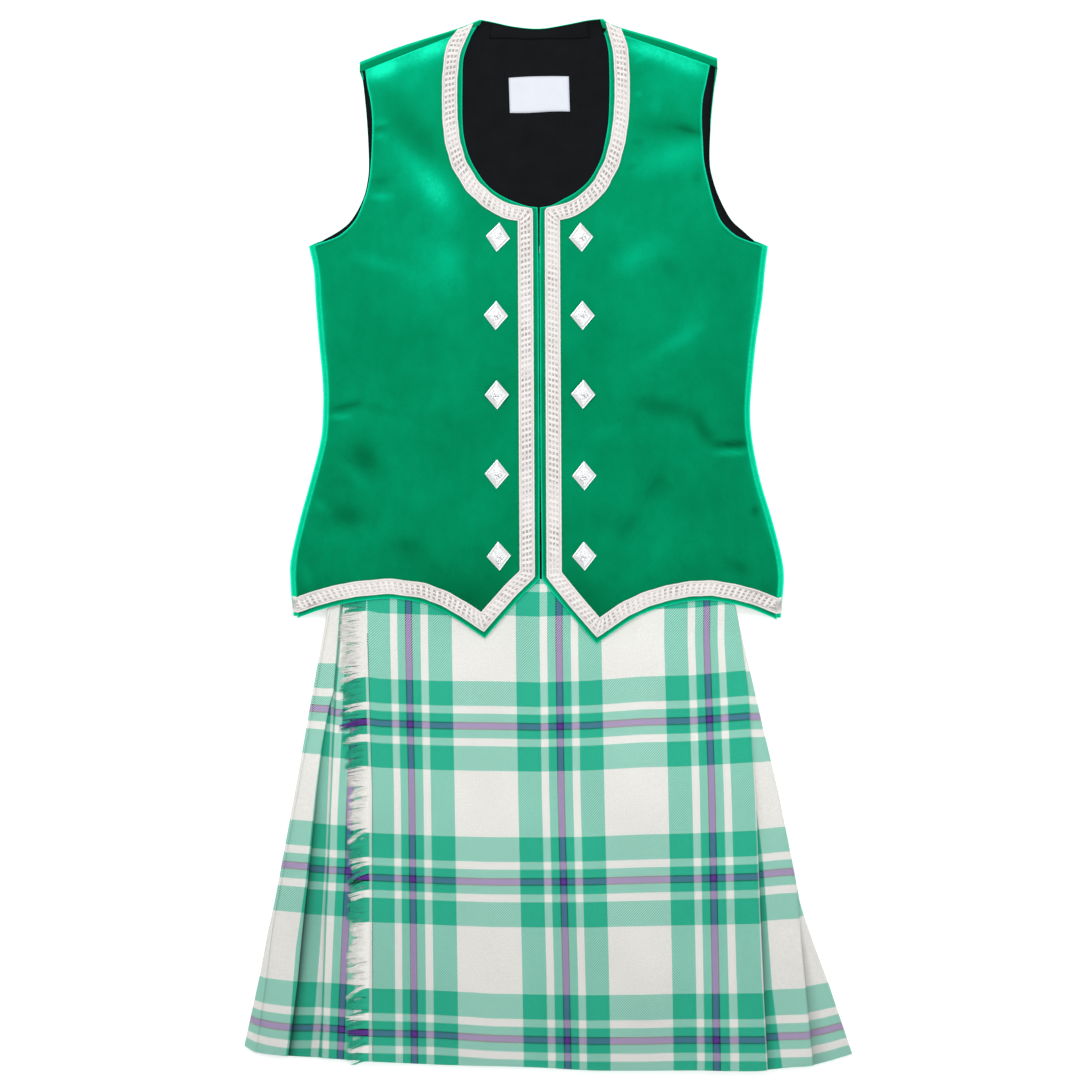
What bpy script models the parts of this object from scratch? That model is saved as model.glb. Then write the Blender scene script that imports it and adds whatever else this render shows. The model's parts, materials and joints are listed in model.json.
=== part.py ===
"""Velvet waistcoat and tartan kilt, laid flat as one dress.

World frame: metres, +X across to the right, +Y towards the neck, +Z up from the surface.
The origin is on the underside of the waistcoat's back, in its middle line, just above the waist.
Every size below is in millimetres and is turned into metres where a mesh is made.
"""
import math

import bmesh
import bpy
from mathutils.bvhtree import BVHTree

MM = 0.001

# Cloth and gaps
SEAM_GAP = 0.3
VELVET_BACK = 1.2
VELVET_FRONT = 1.5
LINING = 1.0
BRAID = 1.0
TARTAN = 1.0
LAYER_PITCH = 1.4

# Heights of the waistcoat's layers above the surface
LINING_BASE = 1.5
LINING_TOP = LINING_BASE + LINING
FRONT_BASE = 2.9
KILT_BASE_INSIDE = 2.85
EDGE_ROUND = 1.0
RIM_TOP = 2.8
FLAP_TOP = 4.1
SIDE_FLAP = 4.2
SIDE_SEAM_GAP = 0.8
SHOULDER_SEAM_GAP = 0.5
LINING_HEM_RISE = 2.0

# Outline of the waistcoat's back: a row for each height
BACK_ROWS = [
    # y, left x, right x
    (-50.0, -197.5, 193.0),
    (-43.4, -198.8, 194.0),
    (-27.4, -199.6, 195.6),
    (-11.4, -198.8, 194.0),
    (20.6, -191.6, 186.0),
    (52.6, -182.8, 176.4),
    (84.6, -174.8, 170.0),
    (108.6, -173.0, 168.4),
    (132.6, -173.4, 170.0),
    (164.6, -176.4, 173.2),
    (196.6, -179.0, 178.0),
    (228.6, -183.6, 181.2),
    (238.0, -182.4, 180.8),
    (244.6, -174.8, 178.8),
    (252.0, -159.5, 163.0),
    (260.6, -150.0, 153.2),
    (276.6, -141.2, 144.4),
    (292.6, -137.2, 138.6),
    (308.6, -136.4, 136.0),
    (340.6, -138.0, 137.2),
    (372.6, -141.2, 140.6),
]
UNDERARM_Y = 236.0
HEM_CORNER_DROP = 6.0
HEM_CORNER_WIDTH = 14.0
TOP_EDGE = [
    # x, y from the left shoulder tip over the back neck to the right shoulder tip
    (-142.8, 386.2),
    (-110.0, 398.6),
    (-71.6, 412.6),
    (-49.2, 420.8),
    (-42.0, 418.6),
    (-20.0, 415.6),
    (0.0, 414.8),
    (20.0, 415.8),
    (41.0, 419.0),
    (49.2, 421.4),
    (64.0, 414.6),
    (105.0, 401.0),
    (142.0, 390.0),
]
NECK_COLUMNS = (3, 9)

# Outer edge of each front from the shoulder to the underarm, inner edge along the neck
LEFT_FRONT_ROWS = [
    # outer x, outer y, inner x, inner y
    (-138.8, 379.8, -50.8, 414.4),
    (-137.0, 367.0, -55.6, 404.6),
    (-134.8, 356.6, -60.8, 388.6),
    (-133.2, 341.0, -61.6, 368.0),
    (-133.4, 322.0, -61.6, 340.6),
    (-134.2, 306.0, -60.0, 324.6),
    (-135.8, 291.0, -55.2, 308.6),
    (-139.6, 276.6, -45.6, 292.6),
    (-146.8, 260.6, -36.0, 283.2),
    (-158.5, 249.5, -24.8, 276.6),
    (-178.4, 240.6, -1.0, 272.2),
]
RIGHT_FRONT_ROWS = [
    (135.6, 383.8, 51.8, 408.6),
    (132.6, 369.0, 54.4, 399.6),
    (130.0, 356.6, 55.6, 388.6),
    (129.2, 341.0, 56.0, 364.0),
    (130.0, 323.0, 55.2, 340.6),
    (131.0, 307.0, 52.8, 324.6),
    (134.0, 292.6, 48.8, 308.6),
    (138.0, 277.0, 40.0, 292.6),
    (144.4, 261.0, 30.0, 283.2),
    (155.0, 250.0, 17.6, 276.6),
    (176.0, 240.0, 1.0, 272.2),
]
SIDE_SEAM_YS = [228, 212, 196, 176, 156, 136, 118, 100, 84, 66, 48, 30, 12, -6, -22, -36, -46]
CENTRE_X = 0.9

# Lower edge of each front, from the side seam to the centre, with its point
LEFT_HEM = [
    # x, y
    (-192.2, -57.2),
    (-187.0, -55.4),
    (-181.0, -53.2),
    (-175.6, -51.4),
    (-159.6, -47.0),
    (-143.6, -44.0),
    (-119.6, -42.0),
    (-95.6, -45.0),
    (-79.6, -51.0),
    (-63.6, -60.2),
    (-43.6, -73.8),
    (-31.6, -59.8),
    (-15.6, -41.8),
    (-0.9, -26.6),
]
RIGHT_HEM = [
    (188.6, -56.6),
    (184.0, -55.0),
    (177.5, -52.8),
    (168.4, -49.8),
    (152.4, -46.0),
    (136.4, -43.4),
    (120.4, -44.0),
    (104.4, -47.0),
    (88.4, -51.8),
    (72.4, -59.4),
    (45.2, -78.2),
    (24.4, -54.2),
    (8.4, -35.0),
    (0.9, -26.6),
]
HEM_PULL = {-22: 0.12, -36: 0.45, -46: 0.75}
FRONT_OVER_KILT = 0.9
CHEST_FULLNESS = 0.8

# Braid along neck, centre and hem of each front
BRAID_EDGE = 4.6
BRAID_WIDTH = 11.0
BRAID_STEP = 10.0
BRAID_LIFT = 0.35
BRAID_SIDE_GAP = 1.5
SHOULDER_SLOPE = 0.4
LEFT_NECK = [
    # x, y along the velvet edge, from the shoulder to the centre
    (-49.2, 418.6),
    (-55.6, 404.6),
    (-60.2, 388.6),
    (-61.8, 372.6),
    (-62.0, 356.6),
    (-61.6, 340.6),
    (-59.8, 324.6),
    (-55.2, 308.6),
    (-45.8, 293.2),
    (-34.6, 283.0),
    (-23.4, 276.8),
    (-1.0, 272.2),
]
RIGHT_NECK = [
    (49.2, 419.2),
    (53.4, 404.6),
    (55.4, 388.6),
    (56.2, 372.6),
    (56.2, 356.6),
    (55.2, 340.6),
    (52.8, 324.6),
    (48.4, 308.6),
    (40.0, 293.0),
    (30.4, 283.4),
    (21.0, 277.6),
    (1.0, 272.2),
]

# Buttons: a diamond with a low pyramid
BUTTON_WIDTH = 19.2
BUTTON_HEIGHT = 23.2
BUTTON_RIM = 1.1
BUTTON_PEAK = 3.4
BUTTON_PLACES = [
    # side, x, y, turn in degrees
    ("left", -33.2, 246.2, -6.0),
    ("left", -34.8, 183.8, -1.5),
    ("left", -34.0, 120.2, 1.0),
    ("left", -34.0, 57.0, -1.5),
    ("left", -32.4, -8.2, 3.0),
    ("right", 33.2, 246.2, 2.6),
    ("right", 34.4, 183.8, 0.0),
    ("right", 34.8, 120.6, -1.5),
    ("right", 35.6, 55.8, 1.0),
    ("right", 35.6, -8.2, 2.0),
]

# Back neck facing and label
FACING_DEPTH = 8.4
LABEL_SIZE = (48.0, 28.8)
LABEL_CENTRE = (-0.4, 359.7)

# Hook in the centre slit
HOOK_Y = 236.5
HOOK_LENGTH = 5.0
HOOK_WIRE = 0.45

# Kilt: a row for each height, with the outer surface of each fold
KILT_ROWS = [
    # y, left, right, pleat fold, under apron fold, sliver, apron fold, right pleat fold, fringe root
    (84.6, -144.0, 128.0, -134.6, -132.0, 2.8, 127.6, 127.8, -128.0),
    (30.0, -154.0, 139.6, -144.6, -142.0, 2.8, 139.2, 139.4, -131.0),
    (-51.5, -169.4, 157.2, -160.2, -157.6, 2.8, 156.8, 157.0, -137.6),
    (-69.0, -172.6, 161.0, -162.0, -159.0, 2.8, 160.0, 160.8, -138.6),
    (-118.0, -181.4, 172.6, -166.2, -162.6, 2.8, 167.0, 172.4, -137.4),
    (-196.0, -195.2, 190.2, -178.0, -168.4, 2.8, 172.4, 190.0, -135.0),
    (-292.0, -213.6, 213.4, -187.4, -171.4, 3.6, 176.2, 206.0, -134.8),
    (-350.0, -225.0, 230.4, -193.0, -172.8, 5.4, 178.8, 212.4, -135.0),
    (-408.0, -236.6, 250.0, -200.6, -174.0, 7.0, 182.0, 218.6, -135.4),
]
KILT_HEM_DROP = [
    # x, lift of the hem above its lowest line
    (-236.6, 5.4),
    (-220.0, 0.4),
    (-172.0, -1.8),
    (-128.0, -4.2),
    (-79.6, -6.6),
    (0.4, -9.0),
    (40.4, -11.6),
    (181.0, -12.2),
    (200.0, -9.4),
    (218.6, -7.8),
    (250.0, 1.4),
]
RAMP_TOP_Y = -51.5
RAMP_FOOT_Y = -69.0
BACK_PLEATS = 15
PLEAT_SLIT = 3.0
UNDERLAY_SHARE = 0.8
APRON_UNDERLAY = 28.0
UNDER_APRON_UNDERLAY = 24.0
RIGHT_UNDERLAY = 12.0
APRON_SAG = 2.4
UNDER_APRON_SHORT = 78.0
APRON_COLUMNS = 22
UNDER_APRON_COLUMNS = 15

# Waistband
BAND_WALL = 2.0
BAND_DEPTH = 19.0

# Fringe along the top apron's left edge
FRINGE_STRIP = 2.4
FRINGE_TOP_Y = -50.0
FRINGE_COUNT = 150
FRINGE_LENGTH = 15.5
FRINGE_THICK = 0.9

SMALL_PRIMES = (7, 11, 13)


def clear_scene():
    for item in list(bpy.data.objects):
        bpy.data.objects.remove(item, do_unlink=True)


def make_collection(name):
    collection = bpy.data.collections.new(name)
    bpy.context.scene.collection.children.link(collection)
    return collection


def make_material(name, colour, roughness, metallic=0.0):
    material = bpy.data.materials.new(name)
    material.use_nodes = True
    shader = material.node_tree.nodes["Principled BSDF"]
    shader.inputs["Base Color"].default_value = (*colour, 1.0)
    shader.inputs["Roughness"].default_value = roughness
    shader.inputs["Metallic"].default_value = metallic
    material.diffuse_color = (*colour, 1.0)
    return material


def add_mesh_object(name, bm, material, collection):
    bmesh.ops.recalc_face_normals(bm, faces=bm.faces)
    mesh = bpy.data.meshes.new(name)
    bm.to_mesh(mesh)
    bm.free()
    mesh.materials.append(material)
    item = bpy.data.objects.new(name, mesh)
    collection.objects.link(item)
    return item


def interpolate(table, position, column):
    """Read a column of a table whose first column rises or falls steadily."""
    rows = sorted(table)
    if position <= rows[0][0]:
        return rows[0][column]
    for low, high in zip(rows, rows[1:]):
        if position <= high[0]:
            share = (position - low[0]) / (high[0] - low[0])
            return low[column] + share * (high[column] - low[column])
    return rows[-1][column]


def smooth(share):
    share = max(0.0, min(1.0, share))
    return share * share * (3.0 - 2.0 * share)


def wobble(index):
    """A steady uneven value from -1 to 1 for a counted piece."""
    return sum(math.sin(index * prime * 0.73 + prime) for prime in SMALL_PRIMES) / len(SMALL_PRIMES)


def sheet_from_grid(rows):
    """Open surface through a grid of points in millimetres."""
    bm = bmesh.new()
    grid = [[bm.verts.new((x * MM, y * MM, z * MM)) for x, y, z in row] for row in rows]
    for lower, upper in zip(grid, grid[1:]):
        for index in range(len(lower) - 1):
            bm.faces.new((lower[index], lower[index + 1], upper[index + 1], upper[index]))
    return bm, grid


def thicken_upwards(bm, thickness):
    extruded = bmesh.ops.extrude_face_region(bm, geom=bm.faces[:])
    raised = [item for item in extruded["geom"] if isinstance(item, bmesh.types.BMVert)]
    bmesh.ops.translate(bm, verts=raised, vec=(0.0, 0.0, thickness * MM))


def offset_polyline(points, distance):
    """Points of an open polyline in x and z, moved sideways with mitred corners."""
    moved = []
    last = len(points) - 1
    for index, (x, z) in enumerate(points):
        before = points[max(index - 1, 0)]
        after = points[min(index + 1, last)]
        normals = []
        for start, end in ((before, (x, z)), ((x, z), after)):
            length = math.hypot(end[0] - start[0], end[1] - start[1])
            if length > 0.0:
                normals.append((-(end[1] - start[1]) / length, (end[0] - start[0]) / length))
        if len(normals) == 1:
            normals.append(normals[0])
        nx = normals[0][0] + normals[1][0]
        nz = normals[0][1] + normals[1][1]
        stretch = 2.0 / (nx * nx + nz * nz)
        moved.append((x + distance * nx * stretch, z + distance * nz * stretch))
    return moved


def wall_through_sections(name, sections, thickness, material, collection):
    """Cloth wall through folded sections: each is a y function and a polyline in x and z."""
    bm = bmesh.new()
    rings = []
    for y_at, polyline in sections:
        sides = [offset_polyline(polyline, side * thickness / 2.0) for side in (1.0, -1.0)]
        rings.append([[bm.verts.new((x * MM, y_at(x) * MM, z * MM)) for x, z in side] for side in sides])
    for lower, upper in zip(rings, rings[1:]):
        for side in (0, 1):
            for index in range(len(lower[side]) - 1):
                bm.faces.new((lower[side][index], lower[side][index + 1],
                              upper[side][index + 1], upper[side][index]))
        for end in (0, -1):
            bm.faces.new((lower[0][end], upper[0][end], upper[1][end], lower[1][end]))
    for ring in (rings[0], rings[-1]):
        for index in range(len(ring[0]) - 1):
            bm.faces.new((ring[0][index], ring[0][index + 1], ring[1][index + 1], ring[1][index]))
    return add_mesh_object(name, bm, material, collection)


# Waistcoat back, lining, facing and label

def back_left(y):
    return interpolate(BACK_ROWS, y, 1)


def back_right(y):
    return interpolate(BACK_ROWS, y, 2)


def back_outline(inset):
    """The back's outline moved in by an inset: up the left side, over the top, down the right side."""
    left_side = [(left, y) for y, left, right in BACK_ROWS]
    right_side = [(right, y) for y, left, right in BACK_ROWS]
    chain = offset_polyline(left_side + TOP_EDGE + right_side[::-1], -inset)
    for index in (0, -1):
        chain[index] = (chain[index][0], chain[index][1] - HEM_CORNER_DROP)
    return chain


def back_hem(inset, rise=0.0):
    """Straight lower edge of the back, from right to left, between its lowered corners."""
    y = BACK_ROWS[0][0] + rise
    ends = ((BACK_ROWS[0][2] - inset, -1.0), (BACK_ROWS[0][1] + inset, 1.0))
    return [(x + direction * HEM_CORNER_WIDTH, y) for x, direction in ends]


def flat_plate(outline, base, thickness):
    bm = bmesh.new()
    bm.faces.new([bm.verts.new((x * MM, y * MM, base * MM)) for x, y in outline])
    thicken_upwards(bm, thickness)
    return bm


def add_rim(bm, chain, ring_points):
    """Faces from a chain of boundary vertices to a new ring of points beside it."""
    ring = [bm.verts.new((x * MM, y * MM, z * MM)) for x, y, z in ring_points]
    for index in range(len(chain) - 1):
        bm.faces.new((chain[index], chain[index + 1], ring[index + 1], ring[index]))
    return ring


def build_waistcoat_back(material, collection):
    """Flat velvet back, turned up all round, with flaps over the side seams and the shoulders."""
    outer = back_outline(0.0)
    bm = bmesh.new()
    chain = [bm.verts.new((x * MM, y * MM, 0.0)) for x, y in back_outline(EDGE_ROUND)]
    bm.faces.new(chain + [bm.verts.new((x * MM, y * MM, 0.0)) for x, y in back_hem(EDGE_ROUND)])
    edge = add_rim(bm, chain, [(x, y, EDGE_ROUND) for x, y in outer])
    rim = add_rim(bm, edge, [(x, y, RIM_TOP) for x, y in outer])

    def add_flap(run, over, flap):
        turned = add_rim(bm, [rim[i] for i in run], [(x, y, FLAP_TOP - 0.3) for x, y in over])
        add_rim(bm, turned, [(x, y, FLAP_TOP) for x, y in flap])

    side_count = sum(1 for row in BACK_ROWS if row[0] <= UNDERARM_Y)
    last = len(outer) - 1
    for run, direction in ((range(side_count), 1.0), (range(last, last - side_count, -1), -1.0)):
        over = [(outer[i][0] + direction * 0.9, outer[i][1]) for i in run]
        flap = [(outer[i][0] + direction * SIDE_FLAP, outer[i][1]) for i in run]
        add_flap(run, over, flap)

    first_top, first_neck, last_neck = len(BACK_ROWS), NECK_COLUMNS[0], NECK_COLUMNS[1]
    shoulders = (
        (range(first_top, first_top + first_neck + 1), LEFT_FRONT_ROWS[0]),
        (range(first_top + last_neck, first_top + len(TOP_EDGE)), RIGHT_FRONT_ROWS[0]),
    )
    for run, (tip_x, tip_y, neck_x, neck_y) in shoulders:
        slope = (neck_y - tip_y) / (neck_x - tip_x)
        over = [(outer[i][0], outer[i][1] - 0.9) for i in run]
        flap = [(outer[i][0], tip_y + slope * (outer[i][0] - tip_x) + SHOULDER_SEAM_GAP) for i in run]
        add_flap(run, over, flap)

    item = add_mesh_object("waistcoat_back", bm, material, collection)
    solidify = item.modifiers.new("Wall", "SOLIDIFY")
    solidify.thickness = VELVET_BACK * MM
    solidify.offset = -1.0
    solidify.use_even_offset = True
    return item


def build_back_lining(material, collection):
    inset = VELVET_BACK + 2.0 * SEAM_GAP
    outline = back_outline(inset)
    for index in (0, -1):
        outline[index] = (outline[index][0], outline[index][1] + LINING_HEM_RISE)
    bm = flat_plate(outline + back_hem(inset, LINING_HEM_RISE), LINING_BASE, LINING)
    return add_mesh_object("back_lining", bm, material, collection)


def build_neck_facing(material, collection):
    inset = VELVET_BACK + 2.0 * SEAM_GAP
    points = TOP_EDGE[NECK_COLUMNS[0] + 1:NECK_COLUMNS[1]]
    base = LINING_TOP + SEAM_GAP
    upper = [(x, y - inset, base) for x, y in points]
    lower = [(x * 1.06, TOP_EDGE[6][1] - FACING_DEPTH, base) for x, y in points]
    bm, _ = sheet_from_grid([lower, upper])
    thicken_upwards(bm, LINING)
    return add_mesh_object("neck_facing", bm, material, collection)


def build_label(material, collection):
    half_x, half_y = LABEL_SIZE[0] / 2.0, LABEL_SIZE[1] / 2.0
    corners = ((-half_x, -half_y), (half_x, -half_y), (half_x, half_y), (-half_x, half_y))
    outline = [(LABEL_CENTRE[0] + x, LABEL_CENTRE[1] + y) for x, y in corners]
    bm = flat_plate(outline, LINING_TOP + SEAM_GAP, LINING)
    return add_mesh_object("label", bm, material, collection)


# Kilt heights and outlines

def level(number):
    """Middle height of a cloth layer in the kilt, above the kilt's own base."""
    return TARTAN / 2.0 + number * LAYER_PITCH


def kilt_base(y):
    """Height of the kilt's underside: on the lining, then down to the surface."""
    share = (y - RAMP_FOOT_Y) / (RAMP_TOP_Y - RAMP_FOOT_Y)
    return KILT_BASE_INSIDE * max(0.0, min(1.0, share))


def kilt_value(y, column):
    return interpolate(KILT_ROWS, y, column)


def under_apron_height(x, under_fold):
    return level(5) - APRON_SAG * smooth((x - under_fold - 28.0) / 50.0)


def apron_height(x, under_fold, apron_fold):
    rise_end = apron_fold - APRON_UNDERLAY - 4.0
    lift = level(7) - level(5) + APRON_SAG - LAYER_PITCH - 0.1
    return under_apron_height(x, under_fold) + LAYER_PITCH + 0.1 + lift * smooth((x - rise_end + 60.0) / 60.0)


def kilt_row_y(row_y):
    """The height line of a kilt row, bent along its length towards the hem's own curve."""
    share = max(0.0, (RAMP_FOOT_Y - row_y) / (RAMP_FOOT_Y - KILT_ROWS[-1][0]))

    def y_at(x):
        spread = KILT_ROWS[-1][1] / kilt_value(row_y, 1)
        return row_y + share * interpolate(KILT_HEM_DROP, x * spread, 1)

    return y_at


def kilt_sections(polyline_of_row):
    sections = []
    for row in KILT_ROWS:
        base = kilt_base(row[0])
        polyline = [(x, z + base) for x, z in polyline_of_row(row)]
        sections.append((kilt_row_y(row[0]), polyline))
    return sections


def pleats_polyline(row):
    """Back of the kilt: knife pleats between a wrapped left edge and a wrapped right edge."""
    y, left, right, _, _, sliver, _, right_fold, _ = row
    half = TARTAN / 2.0
    round_in, round_up = 1.4, 1.3
    points = [
        (left + sliver + half, level(6)),
        (left + half + round_in, level(6)),
        (left + half, level(6) - round_up),
        (left + half, level(0) + round_up),
        (left + half + round_in, level(0)),
    ]
    start = left + half + round_in
    end = right - half - round_in
    exposure = (end - start) / BACK_PLEATS
    depth = exposure - PLEAT_SLIT
    for index in range(1, BACK_PLEATS):
        fold = start + index * exposure
        points += [
            (fold - 1.0, level(0)),
            (fold - 1.0, level(2)),
            (fold + depth, level(2)),
            (fold + depth, level(1)),
            (fold + half, level(1)),
            (fold + half, level(0)),
        ]
    points += [
        (end, level(0)),
        (right - half, level(0) + round_up),
        (right - half, level(3) - round_up),
        (end, level(3)),
        (min(right_fold, right - 4.0) - RIGHT_UNDERLAY, level(3)),
    ]
    return points


def under_apron_polyline(row):
    """Left side pleat, the valley beside it, and the under apron with its folded edge."""
    y, left, right, pleat_fold, under_fold, sliver, apron_fold, _, _ = row
    half = TARTAN / 2.0
    inner = pleat_fold - UNDERLAY_SHARE * (pleat_fold - left) + half
    turn = under_fold + UNDER_APRON_UNDERLAY
    points = [
        (left + 2.4, level(5)),
        (pleat_fold - half - 0.3, level(5)),
        (pleat_fold - half, (level(5) + level(4)) / 2.0),
        (pleat_fold - half - 0.3, level(4)),
        (inner, level(4)),
        (inner, level(3)),
        (turn, level(3)),
        (turn, level(4)),
        (under_fold + half + 0.3, level(4)),
        (under_fold + half, (level(5) + level(4)) / 2.0),
        (under_fold + half + 0.3, level(5)),
    ]
    start = turn + 2.0
    end = apron_fold - UNDER_APRON_SHORT
    for index in range(UNDER_APRON_COLUMNS + 1):
        x = start + (end - start) * index / UNDER_APRON_COLUMNS
        points.append((x, under_apron_height(x, under_fold)))
    return points


def apron_polyline(row):
    """Right side pleat, the deep pleat under the apron's folded edge, and the top apron."""
    y, left, right, _, under_fold, _, apron_fold, right_fold, root = row
    half = TARTAN / 2.0
    turn = apron_fold - APRON_UNDERLAY
    points = [
        (min(right_fold, right - 4.0) - RIGHT_UNDERLAY, level(4)),
        (right_fold - half - 0.3, level(4)),
        (right_fold - half, (level(5) + level(4)) / 2.0),
        (right_fold - half - 0.3, level(5)),
        (turn, level(5)),
        (turn, level(6)),
        (apron_fold - half - 0.3, level(6)),
        (apron_fold - half, (level(6) + level(7)) / 2.0),
        (apron_fold - half - 0.3, level(7)),
    ]
    start = turn - 2.0
    end = root + FRINGE_STRIP + SEAM_GAP
    for index in range(APRON_COLUMNS + 1):
        x = start + (end - start) * index / APRON_COLUMNS
        points.append((x, apron_height(x, under_fold, apron_fold)))
    return points


def build_waistband(material, collection):
    """Plain band above the kilt's top edge, hidden inside the waistcoat."""
    y0, left, right = KILT_ROWS[0][:3]
    lower_z = KILT_BASE_INSIDE + BAND_WALL / 2.0
    upper_z = lower_z + BAND_WALL + 0.4
    sections = []
    for y in (y0 + SEAM_GAP, y0 + SEAM_GAP + BAND_DEPTH):
        polyline = [(left + 1.0, upper_z), (right - 1.0, upper_z), (right - 1.0, lower_z), (left + 1.0, lower_z)]
        sections.append((lambda x, y=y: y, polyline))
    return wall_through_sections("kilt_waistband", sections, BAND_WALL, material, collection)


def build_fringe(material, collection):
    """Narrow strip beside the apron's edge with strands that stand out to the left."""
    bm = bmesh.new()
    top_y = KILT_ROWS[0][0]
    hem_y = KILT_ROWS[-1][0]
    pitch = (FRINGE_TOP_Y - hem_y) / FRINGE_COUNT
    cuts = [(top_y, False), (30.0, False), (-10.0, False)]
    for index in range(FRINGE_COUNT):
        start = FRINGE_TOP_Y - index * pitch
        cuts.append((start, True))
        cuts.append((start - FRINGE_THICK, False))
    cuts.append((hem_y, False))

    def strip_points(y):
        under_fold = kilt_value(y, 4)
        root = kilt_value(y, 8)
        base = kilt_base(y)
        bent = kilt_row_y(y)
        corners = []
        for x in (root, root + FRINGE_STRIP):
            middle = base + under_apron_height(x, under_fold) + LAYER_PITCH + 0.1
            for side in (-0.5, 0.5):
                corners.append((x, bent(x), middle + side * FRINGE_THICK))
        return corners

    rings = []
    for y, _ in cuts:
        rings.append([bm.verts.new((x * MM, py * MM, z * MM)) for x, py, z in strip_points(y)])
    for index in range(len(rings) - 1):
        upper, lower = rings[index], rings[index + 1]
        bm.faces.new((upper[1], lower[1], lower[3], upper[3]))
        bm.faces.new((upper[0], upper[2], lower[2], lower[0]))
        bm.faces.new((upper[2], upper[3], lower[3], lower[2]))
        side = bm.faces.new((upper[0], lower[0], lower[1], upper[1]))
        if cuts[index][1]:
            y = cuts[index][0]
            length = FRINGE_LENGTH * (1.0 + 0.16 * wobble(index))
            droop = 1.2 + 1.4 * wobble(index + 5)
            under_fold = kilt_value(y, 4)
            tip_x = kilt_value(y, 8) - length
            fall = under_apron_height(kilt_value(y, 8), under_fold) - under_apron_height(tip_x, under_fold)
            grown = bmesh.ops.extrude_discrete_faces(bm, faces=[side])["faces"][0]
            for corner in grown.verts:
                corner.co.x -= length * MM
                corner.co.y -= droop * MM
                corner.co.z -= fall * MM
            centre = grown.calc_center_median()
            for corner in grown.verts:
                corner.co = centre + (corner.co - centre) * 0.55
    for ring in (rings[0], rings[-1]):
        bm.faces.new((ring[0], ring[1], ring[3], ring[2]))
    return add_mesh_object("apron_fringe", bm, material, collection)


# Waistcoat fronts

def kilt_stack_top(x, y):
    """Top of the kilt's cloth above its own base, under the waistcoat's fronts."""
    under_fold = kilt_value(y, 4)
    apron_fold = kilt_value(y, 6)
    return max(apron_height(x, under_fold, apron_fold), level(6) * (1.0 - smooth((x - under_fold - 10.0) / 30.0)))


def front_height(x, y, share):
    """Underside of a front at a point; share runs from its outer to its inner edge."""
    kilt_y = min(y, KILT_ROWS[0][0])
    over = kilt_stack_top(x, kilt_y) + TARTAN / 2.0 + FRONT_OVER_KILT
    raised = kilt_base(y + 4.0) + over - FRONT_BASE
    fade = smooth((152.0 - y) / 66.0)
    left_edge, right_edge = kilt_value(kilt_y, 1) - 1.5, kilt_value(kilt_y, 2) + 1.5
    left_seam, right_seam = back_left(y) + SIDE_FLAP, back_right(y) - SIDE_FLAP
    mask = 1.0
    if x < left_edge:
        mask = smooth((x - left_seam) / (left_edge - left_seam))
    if x > right_edge:
        mask = smooth((right_seam - x) / (right_seam - right_edge))
    fullness = CHEST_FULLNESS * 4.0 * share * (1.0 - share) * (1.0 - fade)
    return FRONT_BASE + raised * fade * mask + fullness


def front_rows(table, hem, direction):
    """Rows of one front from the shoulder seam to the hem, with the hem's columns."""
    outer_hem, inner_hem = hem[0], hem[-1]
    shares = [(x - outer_hem[0]) / (inner_hem[0] - outer_hem[0]) for x, y in hem]
    rows = []
    for outer_x, outer_y, inner_x, inner_y in table:
        rows.append([(outer_x + s * (inner_x - outer_x), outer_y + s * (inner_y - outer_y)) for s in shares])
    inner_top = table[-1][3]
    seam_top = table[-1][1]
    for y in SIDE_SEAM_YS:
        outline = back_left(y) if direction < 0 else back_right(y)
        outer_x = outline - direction * (SIDE_FLAP + SIDE_SEAM_GAP)
        progress = (seam_top - y) / (seam_top - outer_hem[1])
        inner_y = inner_top + progress * (inner_hem[1] - inner_top)
        pull = HEM_PULL.get(y, 0.0)
        row = []
        for share, (hem_x, hem_y) in zip(shares, hem):
            straight = y + share * (inner_y - y)
            level_hem = outer_hem[1] + share * (inner_hem[1] - outer_hem[1])
            x = outer_x + share * (direction * CENTRE_X - outer_x)
            row.append((x + pull * (hem_x - x), straight + pull * (hem_y - level_hem)))
        rows.append(row)
    rows.append(list(hem))
    return rows, shares


def build_front(name, table, hem, direction, material, collection):
    rows, shares = front_rows(table, hem, direction)
    points = [[(x, y, front_height(x, y, s)) for (x, y), s in zip(row, shares)] for row in rows]
    bm, _ = sheet_from_grid(points)
    bmesh.ops.triangulate(bm, faces=bm.faces[:])
    thicken_upwards(bm, VELVET_FRONT)
    return add_mesh_object(name, bm, material, collection)


def surface_reader(items):
    """A function that gives the top surface's height in millimetres at a place."""
    bpy.context.view_layer.update()
    depsgraph = bpy.context.evaluated_depsgraph_get()
    trees = [BVHTree.FromObject(item, depsgraph) for item in items]

    def height(x, y):
        found = [tree.ray_cast((x * MM, y * MM, 1.0), (0.0, 0.0, -1.0)) for tree in trees]
        heights = [hit[0].z / MM for hit in found if hit[0] is not None]
        if not heights:
            raise ValueError(f"no cloth under {x:.1f}, {y:.1f}")
        return max(heights)

    return height


def braid_path(neck, hem):
    """The velvet edge that the braid follows: neck, centre, and hem out to the side."""
    path = list(neck) + list(reversed(hem))
    corners = [neck[0], neck[-1], hem[-1], min(hem, key=lambda point: point[1])]
    kept = []
    for point in subdivided(path, BRAID_STEP):
        near = [math.dist(point, corner) for corner in corners]
        if min(near) == 0.0 or min(near) > BRAID_EDGE + BRAID_WIDTH:
            kept.append(point)
    return kept


def subdivided(path, step):
    """The same path with points no further apart than a step."""
    points = [path[0]]
    for start, end in zip(path, path[1:]):
        pieces = max(1, round(math.hypot(end[0] - start[0], end[1] - start[1]) / step))
        for piece in range(1, pieces + 1):
            share = piece / pieces
            points.append((start[0] + share * (end[0] - start[0]), start[1] + share * (end[1] - start[1])))
    return points


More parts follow.
